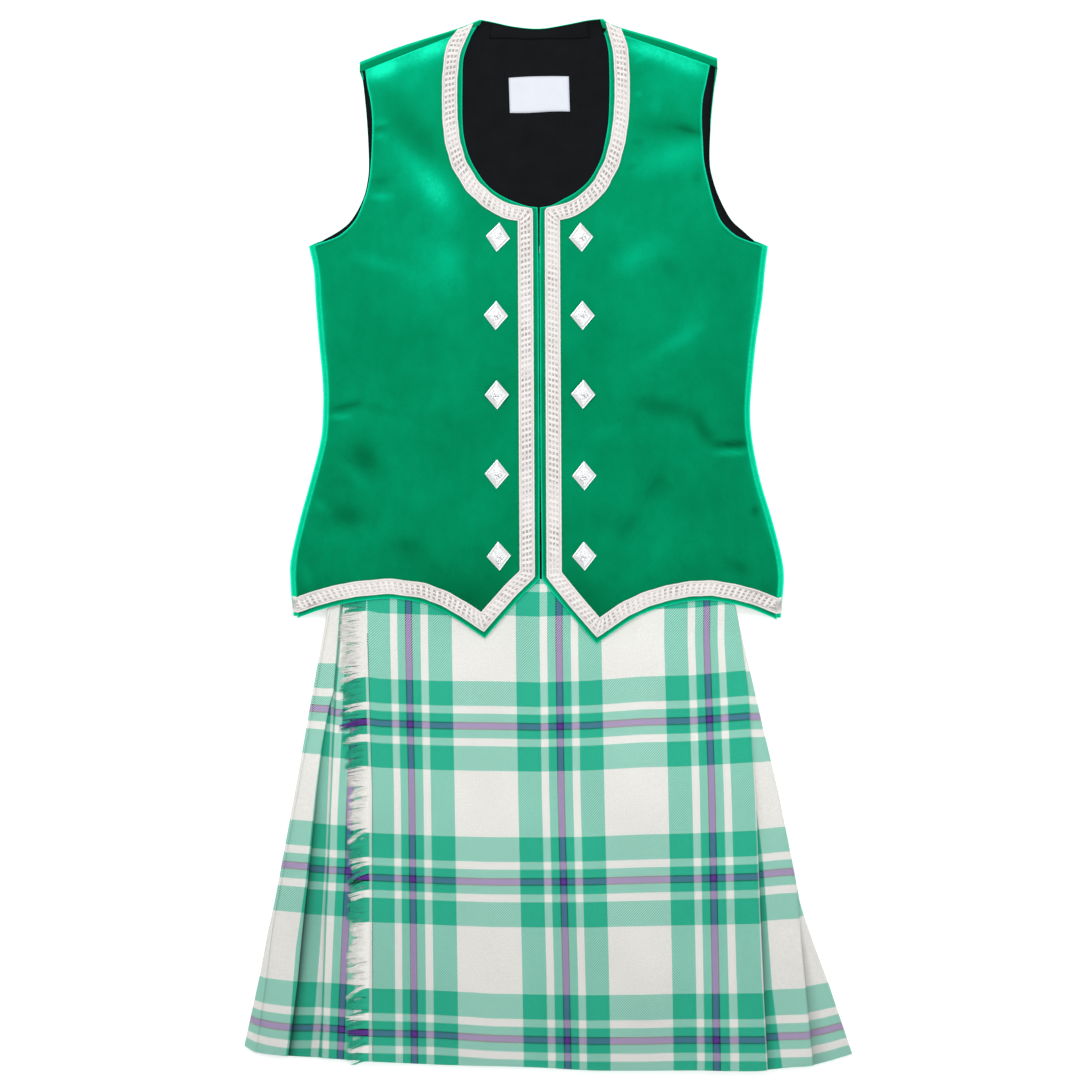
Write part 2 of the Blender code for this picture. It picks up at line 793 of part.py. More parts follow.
def seated_rows(rows, height, gap):
    """Points over a surface, raised until the faces between them clear it by a gap."""
    heights = [[height(x, y) + gap for x, y in row] for row in rows]
    last_row, last_column = len(rows) - 1, len(rows[0]) - 1
    links = []
    for i in range(last_row + 1):
        for j in range(last_column + 1):
            for di, dj in ((1, 0), (0, 1), (1, 1), (1, -1)):
                if i + di <= last_row and 0 <= j + dj <= last_column:
                    links.append(((i, j), (i + di, j + dj)))
    for (i, j), (k, m) in links:
        for share in (0.25, 0.5, 0.75):
            x = rows[i][j][0] + share * (rows[k][m][0] - rows[i][j][0])
            y = rows[i][j][1] + share * (rows[k][m][1] - rows[i][j][1])
            between = heights[i][j] + share * (heights[k][m] - heights[i][j])
            short = height(x, y) + gap - between
            if short > 0.0:
                heights[i][j] += short
                heights[k][m] += short
    return [[(x, y, z) for (x, y), z in zip(row, levels)] for row, levels in zip(rows, heights)]


def build_braid(name, neck, hem, direction, height, material, collection):
    path = braid_path(neck, hem)
    distances = (BRAID_EDGE, BRAID_EDGE + BRAID_WIDTH / 2.0, BRAID_EDGE + BRAID_WIDTH)
    edges = [offset_polyline(path, direction * distance) for distance in distances]
    end_x = path[-1][0] - direction * BRAID_SIDE_GAP
    for edge, distance in zip(edges, distances):
        edge[0] = (path[0][0] + direction * distance, path[0][1] - SHOULDER_SLOPE * distance)
        edge[-1] = (end_x, path[-1][1] + distance)
    rows = seated_rows(list(zip(*edges)), height, BRAID_LIFT)
    bm, _ = sheet_from_grid(rows)
    thicken_upwards(bm, BRAID)
    return add_mesh_object(name, bm, material, collection)


def build_button(name, place, height, material, collection):
    """Diamond plate with a bevelled rim and a low pyramid."""
    _, x, y, turn = place
    bm = bmesh.new()
    levels = [
        # height, share of the full outline
        (0.0, 0.94),
        (0.5, 1.0),
        (BUTTON_RIM, 0.93),
        (BUTTON_RIM + 0.1, 0.84),
        (BUTTON_PEAK - 0.5, 0.22),
    ]
    rings = []
    for z, share in levels:
        ring = []
        for corner in range(4):
            angle = math.radians(90.0 * corner)
            ring.append(bm.verts.new((math.cos(angle) * BUTTON_WIDTH / 2.0 * share * MM,
                                      math.sin(angle) * BUTTON_HEIGHT / 2.0 * share * MM, z * MM)))
        rings.append(ring)
    for lower, upper in zip(rings, rings[1:]):
        for corner in range(4):
            after = (corner + 1) % 4
            bm.faces.new((lower[corner], lower[after], upper[after], upper[corner]))
    bm.faces.new(rings[0])
    peak = bm.verts.new((0.0, 0.0, BUTTON_PEAK * MM))
    for corner in range(4):
        bm.faces.new((rings[-1][corner], rings[-1][(corner + 1) % 4], peak))
    item = add_mesh_object(name, bm, material, collection)
    reach = [(0.0, 0.0), (BUTTON_WIDTH / 2.0, 0.0), (-BUTTON_WIDTH / 2.0, 0.0),
             (0.0, BUTTON_HEIGHT / 2.0), (0.0, -BUTTON_HEIGHT / 2.0)]
    seat = max(height(x + dx, y + dy) for dx, dy in reach) + SEAM_GAP
    item.location = (x * MM, y * MM, seat * MM)
    item.rotation_euler = (0.0, 0.0, math.radians(turn))
    return item


def build_hook(material, collection):
    """Short bent wire of the hook and eye, in the slit between the fronts."""
    curve = bpy.data.curves.new("front_hook", "CURVE")
    curve.dimensions = "3D"
    curve.bevel_depth = HOOK_WIRE * MM
    curve.bevel_resolution = 2
    curve.use_fill_caps = True
    z = LINING_TOP + SEAM_GAP + HOOK_WIRE
    spline = curve.splines.new("POLY")
    points = [(-0.5, 0.0), (-0.25, 0.12), (0.0, 0.2), (0.25, 0.12), (0.5, 0.0)]
    spline.points.add(len(points) - 1)
    for point, (along, bend) in zip(spline.points, points):
        point.co = (bend * MM, (HOOK_Y + along * HOOK_LENGTH) * MM, z * MM, 1.0)
    curve.materials.append(material)
    item = bpy.data.objects.new("front_hook", curve)
    collection.objects.link(item)
    return item


def main():
    clear_scene()
    collection = make_collection("Tartan dress")
    velvet = make_material("Green velvet", (0.0, 0.32, 0.14), 0.85)
    black = make_material("Black lining", (0.008, 0.009, 0.011), 0.8)
    white = make_material("Label", (0.82, 0.87, 0.93), 0.7)
    tartan = make_material("Tartan wool", (0.45, 0.72, 0.62), 0.9)
    band = make_material("Waistband wool", (0.8, 0.8, 0.78), 0.9)
    fringe = make_material("Fringe wool", (0.1, 0.45, 0.3), 0.9)
    silver_braid = make_material("Silver braid", (0.76, 0.75, 0.73), 0.45, 0.3)
    silver = make_material("Silver metal", (0.85, 0.85, 0.86), 0.2, 1.0)

    back = build_waistcoat_back(velvet, collection)
    build_back_lining(black, collection)
    build_neck_facing(black, collection)
    build_label(white, collection)

    wall_through_sections("kilt_pleats", kilt_sections(pleats_polyline), TARTAN, tartan, collection)
    wall_through_sections("kilt_under_apron", kilt_sections(under_apron_polyline), TARTAN, tartan, collection)
    wall_through_sections("kilt_apron", kilt_sections(apron_polyline), TARTAN, tartan, collection)
    build_waistband(band, collection)
    build_fringe(fringe, collection)

    left = build_front("front_left", LEFT_FRONT_ROWS, LEFT_HEM, -1.0, velvet, collection)
    right = build_front("front_right", RIGHT_FRONT_ROWS, RIGHT_HEM, 1.0, velvet, collection)
    on_left = surface_reader([left, back])
    on_right = surface_reader([right, back])
    build_braid("braid_left", LEFT_NECK, LEFT_HEM, -1.0, on_left, silver_braid, collection)
    build_braid("braid_right", RIGHT_NECK, RIGHT_HEM, 1.0, on_right, silver_braid, collection)
    counts = {"left": 0, "right": 0}
    for place in BUTTON_PLACES:
        side = place[0]
        counts[side] += 1
        height = on_left if side == "left" else on_right
        build_button(f"button_{side}_{counts[side]}", place, height, silver, collection)
    build_hook(silver, collection)


if __name__ == "__main__":
    main()
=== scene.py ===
"""Looks of a velvet waistcoat and a tartan kilt, laid flat as one dress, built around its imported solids.

Frame: +X to the right of the photograph, +Y towards the neck, +Z up from the surface. Colours are given
as display values from 0 to 255.
"""

import bisect
import json
import math
import random

import bpy
from mathutils.bvhtree import BVHTree
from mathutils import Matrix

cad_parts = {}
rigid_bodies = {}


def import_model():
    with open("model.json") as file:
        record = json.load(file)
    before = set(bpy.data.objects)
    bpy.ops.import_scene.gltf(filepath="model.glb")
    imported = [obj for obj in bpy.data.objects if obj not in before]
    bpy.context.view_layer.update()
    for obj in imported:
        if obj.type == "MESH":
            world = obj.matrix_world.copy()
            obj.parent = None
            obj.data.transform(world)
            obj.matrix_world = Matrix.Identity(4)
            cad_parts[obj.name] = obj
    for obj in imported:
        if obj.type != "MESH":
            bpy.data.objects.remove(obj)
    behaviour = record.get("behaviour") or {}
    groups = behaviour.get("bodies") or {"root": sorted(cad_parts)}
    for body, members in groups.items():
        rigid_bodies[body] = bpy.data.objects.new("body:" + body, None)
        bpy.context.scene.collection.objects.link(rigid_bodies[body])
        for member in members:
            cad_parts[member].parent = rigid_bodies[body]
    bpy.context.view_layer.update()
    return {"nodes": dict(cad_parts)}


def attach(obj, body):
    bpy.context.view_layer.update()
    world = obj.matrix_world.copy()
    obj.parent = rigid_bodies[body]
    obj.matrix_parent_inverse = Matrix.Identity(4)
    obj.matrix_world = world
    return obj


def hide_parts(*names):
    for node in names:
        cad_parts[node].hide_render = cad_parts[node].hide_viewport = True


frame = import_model()

bl_info = {
    "name": "Tartan dress looks",
    "version": (1, 0, 0),
    "blender": (4, 5, 0),
    "location": "View3D > Sidebar > Dress",
    "description": "Velvet waistcoat and pleated tartan kilt laid flat, with braid, buttons and fringe",
    "category": "Object",
}

MM = 0.001
CRISP_ANGLE = math.radians(52.0)  # edges that turn by more stay sharp in the shading
SHARPEST_CORNER = 0.35  # keeps an offset from running far out at a narrow corner
RAY_TOP = 1.0  # where rays start that look for the cloth, in metres

# Cloth and gaps
SEAM_GAP = 0.3  # between two layers that are sewn together
VELVET_BACK = 1.2
VELVET_FRONT = 1.5
TARTAN = 1.0
TARTAN_WALL = 0.9  # the scene's cloth, a little thinner than the solid's
LAYER_PITCH = 1.4  # from one layer of the kilt to the next
LINING_WALL = 0.7
FACING_WALL = 0.5
LABEL_WALL = 0.35

# Heights of the waistcoat's layers above the surface
LINING_TOP = 2.5
FRONT_BASE = 2.9
KILT_BASE_INSIDE = 2.85
RIM_TOP = 2.8
FLAP_TOP = 4.1
SIDE_FLAP = 3.5  # width of the back's edge that lies over each front
SIDE_SEAM_GAP = 0.7
SHOULDER_FLAP = 1.2  # least depth of the back's edge over each shoulder
RIM_LIP = 0.5
RIM_ROUND = 0.6
BACK_TURN = 2.0  # the flat part of the back ends this far inside its outline
BACK_TURN_PROFILE = (
    # distance inside the outline, height, share of the edge's painted sheen
    (1, 0.12, 0.2), (0.3, 0.5, 0.6), (0, 1.2, 1),
)
FLAP_PROFILE = (
    # share of the reach, share of the rise, the two tones of painted sheen between which it lies
    (0.05, 0.6, 0, 0), (0.2, 0.93, 0, 0), (0.42, 1, 1, 1), (0.8, 1, 1, 1), (1, 0.9, 2, 2),
)
BACK_CREASE_FADE = 6.0  # rows from the edge over which creases fade

# Outline of the waistcoat's back: a row for each height, up to the shoulder tips
BACK_ROWS = [
    # y, left x, right x
    (-50, -196.8, 193), (-43.4, -198.1, 194), (-27.4, -199.1, 195.4), (-11.4, -198.8, 194),
    (20.6, -191.6, 186), (52.6, -182.8, 176.4), (84.6, -174.8, 170), (108.6, -173, 168.4),
    (132.6, -173.4, 170), (164.6, -176.4, 173.2), (196.6, -179, 178), (220.6, -180.4, 180.2),
    (239.4, -184.4, 182.6), (242.4, -177.8, 175.8), (244.6, -172.4, 170.8), (252, -159.5, 162.4),
    (260.6, -150, 153.2), (276.6, -141.2, 144.4), (292.6, -137.2, 138.6), (308.6, -136.4, 136),
    (340.6, -138, 137.2), (372.6, -141.2, 140.6),
]
UNDERARM_ROW = 12
UNDERARM_Y = 240.8
HEM_TURN_ROW = 2  # the hem's corners are shaped below this row
HEM_CORNER_DROP = 6.0
HEM_CORNER_WIDTH = 14.0
RIGHT_CORNER_DROP = 1.4  # more than on the left
RIGHT_HEM_RISE = 5.0
RIGHT_HEM_RISE_WIDTH = 16.0
TOP_EDGE = [
    # x, y from the left shoulder tip over the back neck to the right shoulder tip
    (-143.6, 386.8), (-111.6, 399), (-66, 413.4), (-47.6, 420.6), (-38, 418.8), (-20, 415),
    (0, 413.4), (20, 416.4), (38, 420), (50.4, 421.4), (60, 415.8), (103, 403.2), (142, 389.8),
]
NECK_COLUMNS = (3, 9)

# Outer edge of each front from the shoulder to the underarm, inner edge along the neck
LEFT_FRONT_ROWS = [
    # outer x, outer y, inner x, inner y
    (-138.8, 379.8, -50.8, 414.4), (-137, 367, -55.6, 404.6), (-134.8, 356.6, -60.8, 388.6),
    (-133.2, 341, -61.6, 368), (-133.4, 322, -61.6, 340.6), (-134.2, 306, -60, 324.6),
    (-135.8, 291, -55.2, 308.6), (-139.6, 276.6, -45.6, 292.6), (-147, 259.8, -36, 283.2),
    (-158.5, 248.4, -24.8, 276.8), (-169, 243.4, -11.4, 271.8), (-180.2, 239.8, -1.6, 270.2),
]
RIGHT_FRONT_ROWS = [
    (135.6, 383.8, 50.8, 413.2), (132.6, 369, 54.4, 399.6), (130, 356.6, 55.6, 388.6),
    (129.2, 341, 56, 364), (130, 323, 55.2, 340.6), (131, 307, 52.8, 324.6),
    (134, 292.6, 48.8, 308.6), (138, 277, 40, 292.6), (144.2, 260.2, 30, 283.2),
    (155, 248.8, 19, 276.8), (166, 243.4, 9.6, 272), (178.4, 239.6, 0.4, 270.2),
]
SIDE_SEAM_YS = [228, 212, 196, 176, 156, 136, 118, 100, 84, 66, 48, 30, 12, -6, -22, -36, -46]
CENTRE_GAP = [
    # y, half of the slit between the fronts, its middle
    (-30, 1, 1), (0, 0.9, 0.85), (30, 0.75, 0.65), (56, 0.5, 0.5), (120, 0.42, 0.1),
    (226, 0.42, -0.45), (238, 0.7, -0.5), (262, 0.75, -0.55), (272, 0.9, -0.6),
]

# Lower edge of each front, from the side seam to the centre, with its point
LEFT_HEM = [
    # x, y
    (-192.8, -57.4), (-187, -55.4), (-181, -53.2), (-175.6, -51.4), (-159.6, -47), (-143.6, -44),
    (-119.6, -42), (-95.6, -45), (-79.6, -51), (-63.6, -60.2), (-43.6, -73.8), (-31.6, -59.8),
    (-15.6, -41.8), (0.1, -26.6),
]
RIGHT_HEM = [
    (188.9, -58.4), (184, -56.4), (177.5, -53.7), (168.4, -50.2), (152.4, -46), (136.4, -43.4),
    (120.4, -44), (104.4, -47), (88.4, -51.8), (72.4, -59.4), (45.2, -78.2), (24.4, -54.2),
    (8.4, -35), (1.9, -26.6),
]
HEM_POINT = 10
HEM_PULL = {-22: 0.12, -36: 0.45, -46: 0.75}  # y of a row: how far it follows the hem's shape
FRONT_OVER_KILT = 0.9
FRONT_RISE_START_Y = 152.0
FRONT_RISE_LENGTH = 66.0
FRONT_TURN = 1.6
FRONT_TURN_PROFILE = (
    # distance out, drop, share of the edge's painted sheen
    (0.7, 0.12, 0.35), (1.25, 0.45, 0.9), (1.6, 0.95, 1), (1.35, 1.4, 1),
)
SEAM_REACH = 0.45  # the shoulder and side edges reach this much further out
SLIT_SHADE = 0.95
SLIT_SHADE_X = (0.004, 0.007)  # from full to none on both sides, in metres
SLIT_SHADE_Y = (-0.0268, -0.0260)  # from none to full above the slit's lower end
CHEST_FULLNESS = 0.8

# Braid along neck, centre and hem of each front
BRAID_STEP = 10.0
BRAID_CORNER_GAP = 15.6  # no other point of its path lies closer to a corner
BRAID_CORDS = (
    # inset from each edge, half width, lift, share of tan
    (0.66, 0.7, 0.95, 0), (1.56, 0.32, 1.05, 0.8), (2.14, 0.38, 1, 0),
)
BRAID_NEAR = 3.7
BRAID_SPAN = 12.2
BRAID_OVER_SIDE = 4.4
BRAID_SEAT_X = (-195.4, 191.4)
BRAID_BRIDGE = 9.0  # length of its outer end, which lies over the side seam
BRIDGE_SEATS = (-1.8, -0.9, 0.0, 0.9, 1.8)  # there the highest cloth at these distances carries it
GROUND_LIFT = 0.75
GROUND_WALL = 0.45
GROUND_COLUMNS = 7
BRAID_ROW_STEP = 2.2
CROSSING_INSET = 2.4  # the crossing threads run between the edge cords
CROSSING_RUN = 0.6  # share of the repeat that a crossing thread takes
CROSSING_PAIR = (-0.56, 0.56)
CROSSING_LIFT = 1.05
CROSSING_START = 0.6
CROSSING_POINTS = 9
CROSSING_HALF = (0.46, 0.68)
WAVED_INSET = 2.4  # from the end of the crossing threads
WAVED_POINTS = 4  # in each repeat
SHOULDER_SLOPE = 0.4
LEFT_NECK = [
    # x, y along the velvet edge, from the shoulder to the centre
    (-49.2, 418.6), (-55.6, 404.6), (-60.2, 388.6), (-61.8, 372.6), (-62, 356.6), (-61.6, 340.6),
    (-59.8, 324.6), (-55.2, 308.6), (-45.8, 293.2), (-34.6, 283), (-23.4, 276.8), (-1.6, 272.2),
]
RIGHT_NECK = [
    (49.2, 419.2), (53.4, 404.6), (55.4, 388.6), (56.2, 372.6), (56.2, 356.6), (55.2, 340.6),
    (52.8, 324.6), (48.4, 308.6), (40, 293), (30.4, 283.4), (21, 277.6), (0.4, 272.2),
]

# Buttons
BUTTON_WIDTH = 19.2
BUTTON_HEIGHT = 23.2
BUTTON_FACE = 0.62
BUTTON_BEVEL = 1.3
BUTTON_BASE = 0.5
BUTTON_RELIEF = 0.32
BUTTON_GRID = 41
BUTTON_PLACES = [
    # side, x, y, turn in degrees, middle of the dark relief across and up as shares of the half size
    ("left", -33.2, 246.2, -6.0, 0.0, 0.16),
    ("left", -34.8, 183.8, -1.5, 0.04, -0.12),
    ("left", -34.0, 120.2, 1.0, -0.16, -0.06),
    ("left", -34.0, 57.0, -1.5, 0.1, -0.2),
    ("left", -32.4, -8.2, 3.0, 0.04, -0.3),
    ("right", 33.2, 246.2, 2.6, 0.1, -0.1),
    ("right", 34.4, 183.8, 0.0, 0.0, 0.04),
    ("right", 34.8, 120.6, -1.5, 0.12, -0.16),
    ("right", 35.6, 55.8, 1.0, -0.1, -0.24),
    ("right", 35.6, -8.2, 2.0, -0.14, -0.14),
]

# Fine weaves, in radians a metre
LINING_WEAVE = 6000.0
LABEL_RIB = 5200.0
LABEL_WARP = 9000.0

# Lining, back neck facing and label
LINING_INSET = VELVET_BACK + 2.0 * SEAM_GAP
LINING_HEM_RISE = 2.0
LINING_ROLL = 0.35
FACING_DEPTH = 8.4
FACING_PROFILE = (
    # share of the depth from the lower edge, height above the lining
    (0, 0.05), (0.03, 0.75), (0.12, 1), (0.5, 1.05), (0.9, 0.95), (1, 0.5),
)
LABEL_SIZE = (48.0, 28.8)
LABEL_CENTRE = (-0.15, 360.4)
LABEL_LEAN = (-0.45, 0.57)  # the upper edge leans left, and the right edge lies higher
LABEL_TUCK = 0.4
LABEL_HEAD_SWELL = 0.7
LABEL_FOOT_WAVE = 0.35

# Kilt: a row for each height, with the outer surface of each fold
KILT_ROWS = [
    # y, left, right, pleat fold, under apron fold, sliver, apron fold, right pleat fold, fringe root
    (84.6, -144, 128, -132.8, -132, 2.8, 127.6, 127.8, -128),
    (30, -154, 139.6, -142.8, -142, 2.8, 139.2, 139.4, -131),
    (-51.5, -169.4, 157.2, -158.3, -157.6, 2.8, 156.8, 157, -137.6),
    (-69, -172.6, 161, -159.7, -159, 2.8, 160, 160.8, -138.6),
    (-118, -181.2, 172.6, -163.9, -163.2, 2.8, 167, 172.4, -137.4),
    (-126, -182.6, 174.4, -166.6, -163.6, 2.8, 167.6, 174.2, -137.1),
    (-144, -185.6, 178.5, -170.2, -164.7, 2.8, 168.8, 178.3, -136.6),
    (-163, -188.9, 183.2, -173.4, -165.6, 2.8, 170.1, 183, -136),
    (-196, -194.6, 191, -177.6, -166.9, 2.8, 172.4, 190.8, -135),
    (-267, -207.2, 205.2, -184.6, -169.9, 2.8, 175.2, 205, -134.9),
    (-283, -210.2, 208.2, -186.4, -170.7, 3.4, 175.8, 206.4, -134.8),
    (-292, -211.8, 210.8, -187.4, -171.2, 3.6, 176.2, 207.2, -134.8),
    (-315, -217, 218.6, -189.8, -171.8, 4.4, 177.2, 209.2, -134.9),
    (-350, -223.2, 231, -193, -172.9, 5.4, 178.8, 212.6, -135),
    (-408, -235.6, 250, -200.6, -174.4, 7, 182, 218.6, -135.4),
]
KILT_HEM_DROP = [
    # x, lift of the hem above its lowest line
    (-236.2, 10.2), (-231, 7), (-227, 4.1), (-201, 0.9), (-172, -0.7), (-150, -2.1), (-128, -3.6),
    (-79.6, -6), (0.4, -8.3), (40.4, -10.5), (90, -10.8), (128, -10.2), (172, -10.6), (184, -9.6),
    (200, -8), (218.6, -6.6), (250, 2.4),
]
RAMP_TOP_Y = -51.5
RAMP_FOOT_Y = -69.0
BACK_PLEATS = 15
PLEAT_SLIT = 3.0  # between the end of a pleat's underlay and the next fold
FOLD_STEPS = 6
FOLD_ROUND = 1.6  # from a fold's outer surface to the start of its flat face
WRAP_STEPS = 8
UNDERLAY_SHARE = 0.8
APRON_UNDERLAY = 28.0
UNDER_APRON_UNDERLAY = 24.0
RIGHT_UNDERLAY = 12.0
APRON_SAG = 2.4
APRON_SAG_START = 28.0
APRON_SAG_LENGTH = 50.0
APRON_PITCH = LAYER_PITCH + 0.1  # from the under apron to the top apron
APRON_RISE_GAP = 4.0
APRON_RISE_LENGTH = 60.0
UNDER_APRON_SHORT = 78.0
ROUND_IN = 1.4
COVERED_YS = [84.6, 66.0, 48.0, 30.0, 12.0, -6.0, -24.0, -36.0, -44.0]
SHOWN_ROW_STEP = 5.0
APRON_CREASES_FROM = 34  # place of the first creased point in an apron's row
CREASES_BELOW_Y = -84.0
CREASES_FADE = 14.0

# Waistband
BAND_DEPTH = 19.0
BAND_HEIGHT = 4.4
BAND_FOLD = 2.4  # half width of the rounded fold at each end
BAND_WALL = 1.2

# Fringe along the top apron's left edge
FRINGE_TOP_Y = -38.0
FRINGE_SPREAD = 0.16
FRINGE_PIECES = 7
STITCH_TOP_Y = -70.0

# Tartan, the same for warp and weft
SETT_ACROSS = 119.2  # one repeat across the cloth
THREADS_IN_SETT = 240
DYE_GAMMA = 3.0  # warp and weft colours are mixed as dyes, at this power
STRIPES = [
    # colour, where it ends as a share of a repeat from the purple line's middle
    ("purple", 0.0150),
    ("guard", 0.0232),
    ("green", 0.0799),
    ("white", 0.1277),
    ("green", 0.2870),
    ("white", 0.5),
]

# Where the warp's stripes lie on each panel: repeats from a purple line, and their x at each height
WARP_LINES = {
    "apron": ((-0.287, 0.0, 1.0, 2.0, 2.287), [
        # y, x of each line
        (-75.4, -137, -104.4, 15.6, 133.2, 164.4),
        (-120, -135.6, -103.6, 16.2, 134.8, 167.8),
        (-195.4, -133.2, -102, 17.2, 137.2, 172),
        (-339.4, -133.2, -100.4, 21.2, 140, 177.2),
        (-408, -133, -99.8, 22.6, 141, 181),
    ]),
    "side": ((-0.287,), [
        (-51.5, -155), (-69, -156.6), (-118, -161.2), (-132, -164.6), (-163, -171), (-196, -176.5),
        (-283, -188.6), (-321, -194.2), (-385, -199.1), (-407, -202.4),
    ]),
    "valley": ((-0.127,), [
        (-51.5, -161), (-118, -165.9), (-153, -167), (-251.4, -170.8), (-321, -175.1),
        (-347.4, -177.2), (-372.2, -179.1), (-406.6, -182.4),
    ]),
    "under": ((0.0,), [
        (-51.5, -142.4), (-69, -143.6), (-118, -147.2), (-153, -148.4), (-211.4, -151.6),
        (-255.4, -152.3), (-321, -155.4), (-385, -158), (-408, -158.8),
    ]),
    "right pleat": ((0.287,), [
        (-118, 160), (-221, 174.4), (-251.4, 178), (-300.2, 181.7), (-353.8, 185.5),
        (-416.2, 193.6),
    ]),
}

# Where three of the weft's purple lines lie on each panel
WEFT_LINES = {
    # x, y of the first, second and third line
    "apron": [
        (-135.6, -140.2, -264.2, -388.2), (-127.6, -141.4, -264.6, -388.6),
        (-79.6, -143.4, -267, -390.2), (-39.6, -143.8, -268.2, -393), (0.4, -144.6, -268.2, -394.2),
        (40.4, -143.4, -267.8, -395), (80.4, -140.6, -266.6, -395), (120.4, -139.4, -265.4, -393.8),
        (156.4, -136.6, -264.2, -393.8), (181.2, -134.6, -263.4, -393.8),
    ],
    "side": [
        (-236.4, -124.2, -249.8, -373.8), (-226.8, -125.4, -251.6, -379),
        (-215.6, -126.6, -253.2, -382), (-201.2, -127.9, -254.4, -383.9),
        (-186.8, -129, -255.5, -385), (-172.4, -130.1, -256.6, -385.8),
    ],
    "valley": [
        (-199.6, -130.6, -257, -384.8), (-177.2, -131.4, -258, -384.7),
        (-164.4, -132.2, -259.1, -384.7),
    ],
    "under": [
        (-172.4, -132.2, -258.3, -384.5), (-162.8, -132.9, -258.8, -385.2),
        (-151.6, -133.8, -259.4, -386.2), (-134, -135, -260.6, -387.4),
    ],
    "right pleat": [
        (174.8, -136.4, -262.2, -392.6), (184.4, -135.6, -261.2, -391.6),
        (192.4, -134.8, -260.3, -391.2), (205.2, -134, -259.7, -390.9), (218, -133.2, -259, -390.5),
    ],
    "right side": [
        (208.4, -132, -257.5, -391), (218, -131.4, -256.4, -388.9), (224.4, -131, -255.6, -387.8),
        (230.8, -130.6, -254.8, -386.2), (237.2, -130.2, -254, -384.4),
        (250, -129.4, -252.4, -380.8),
    ],
}

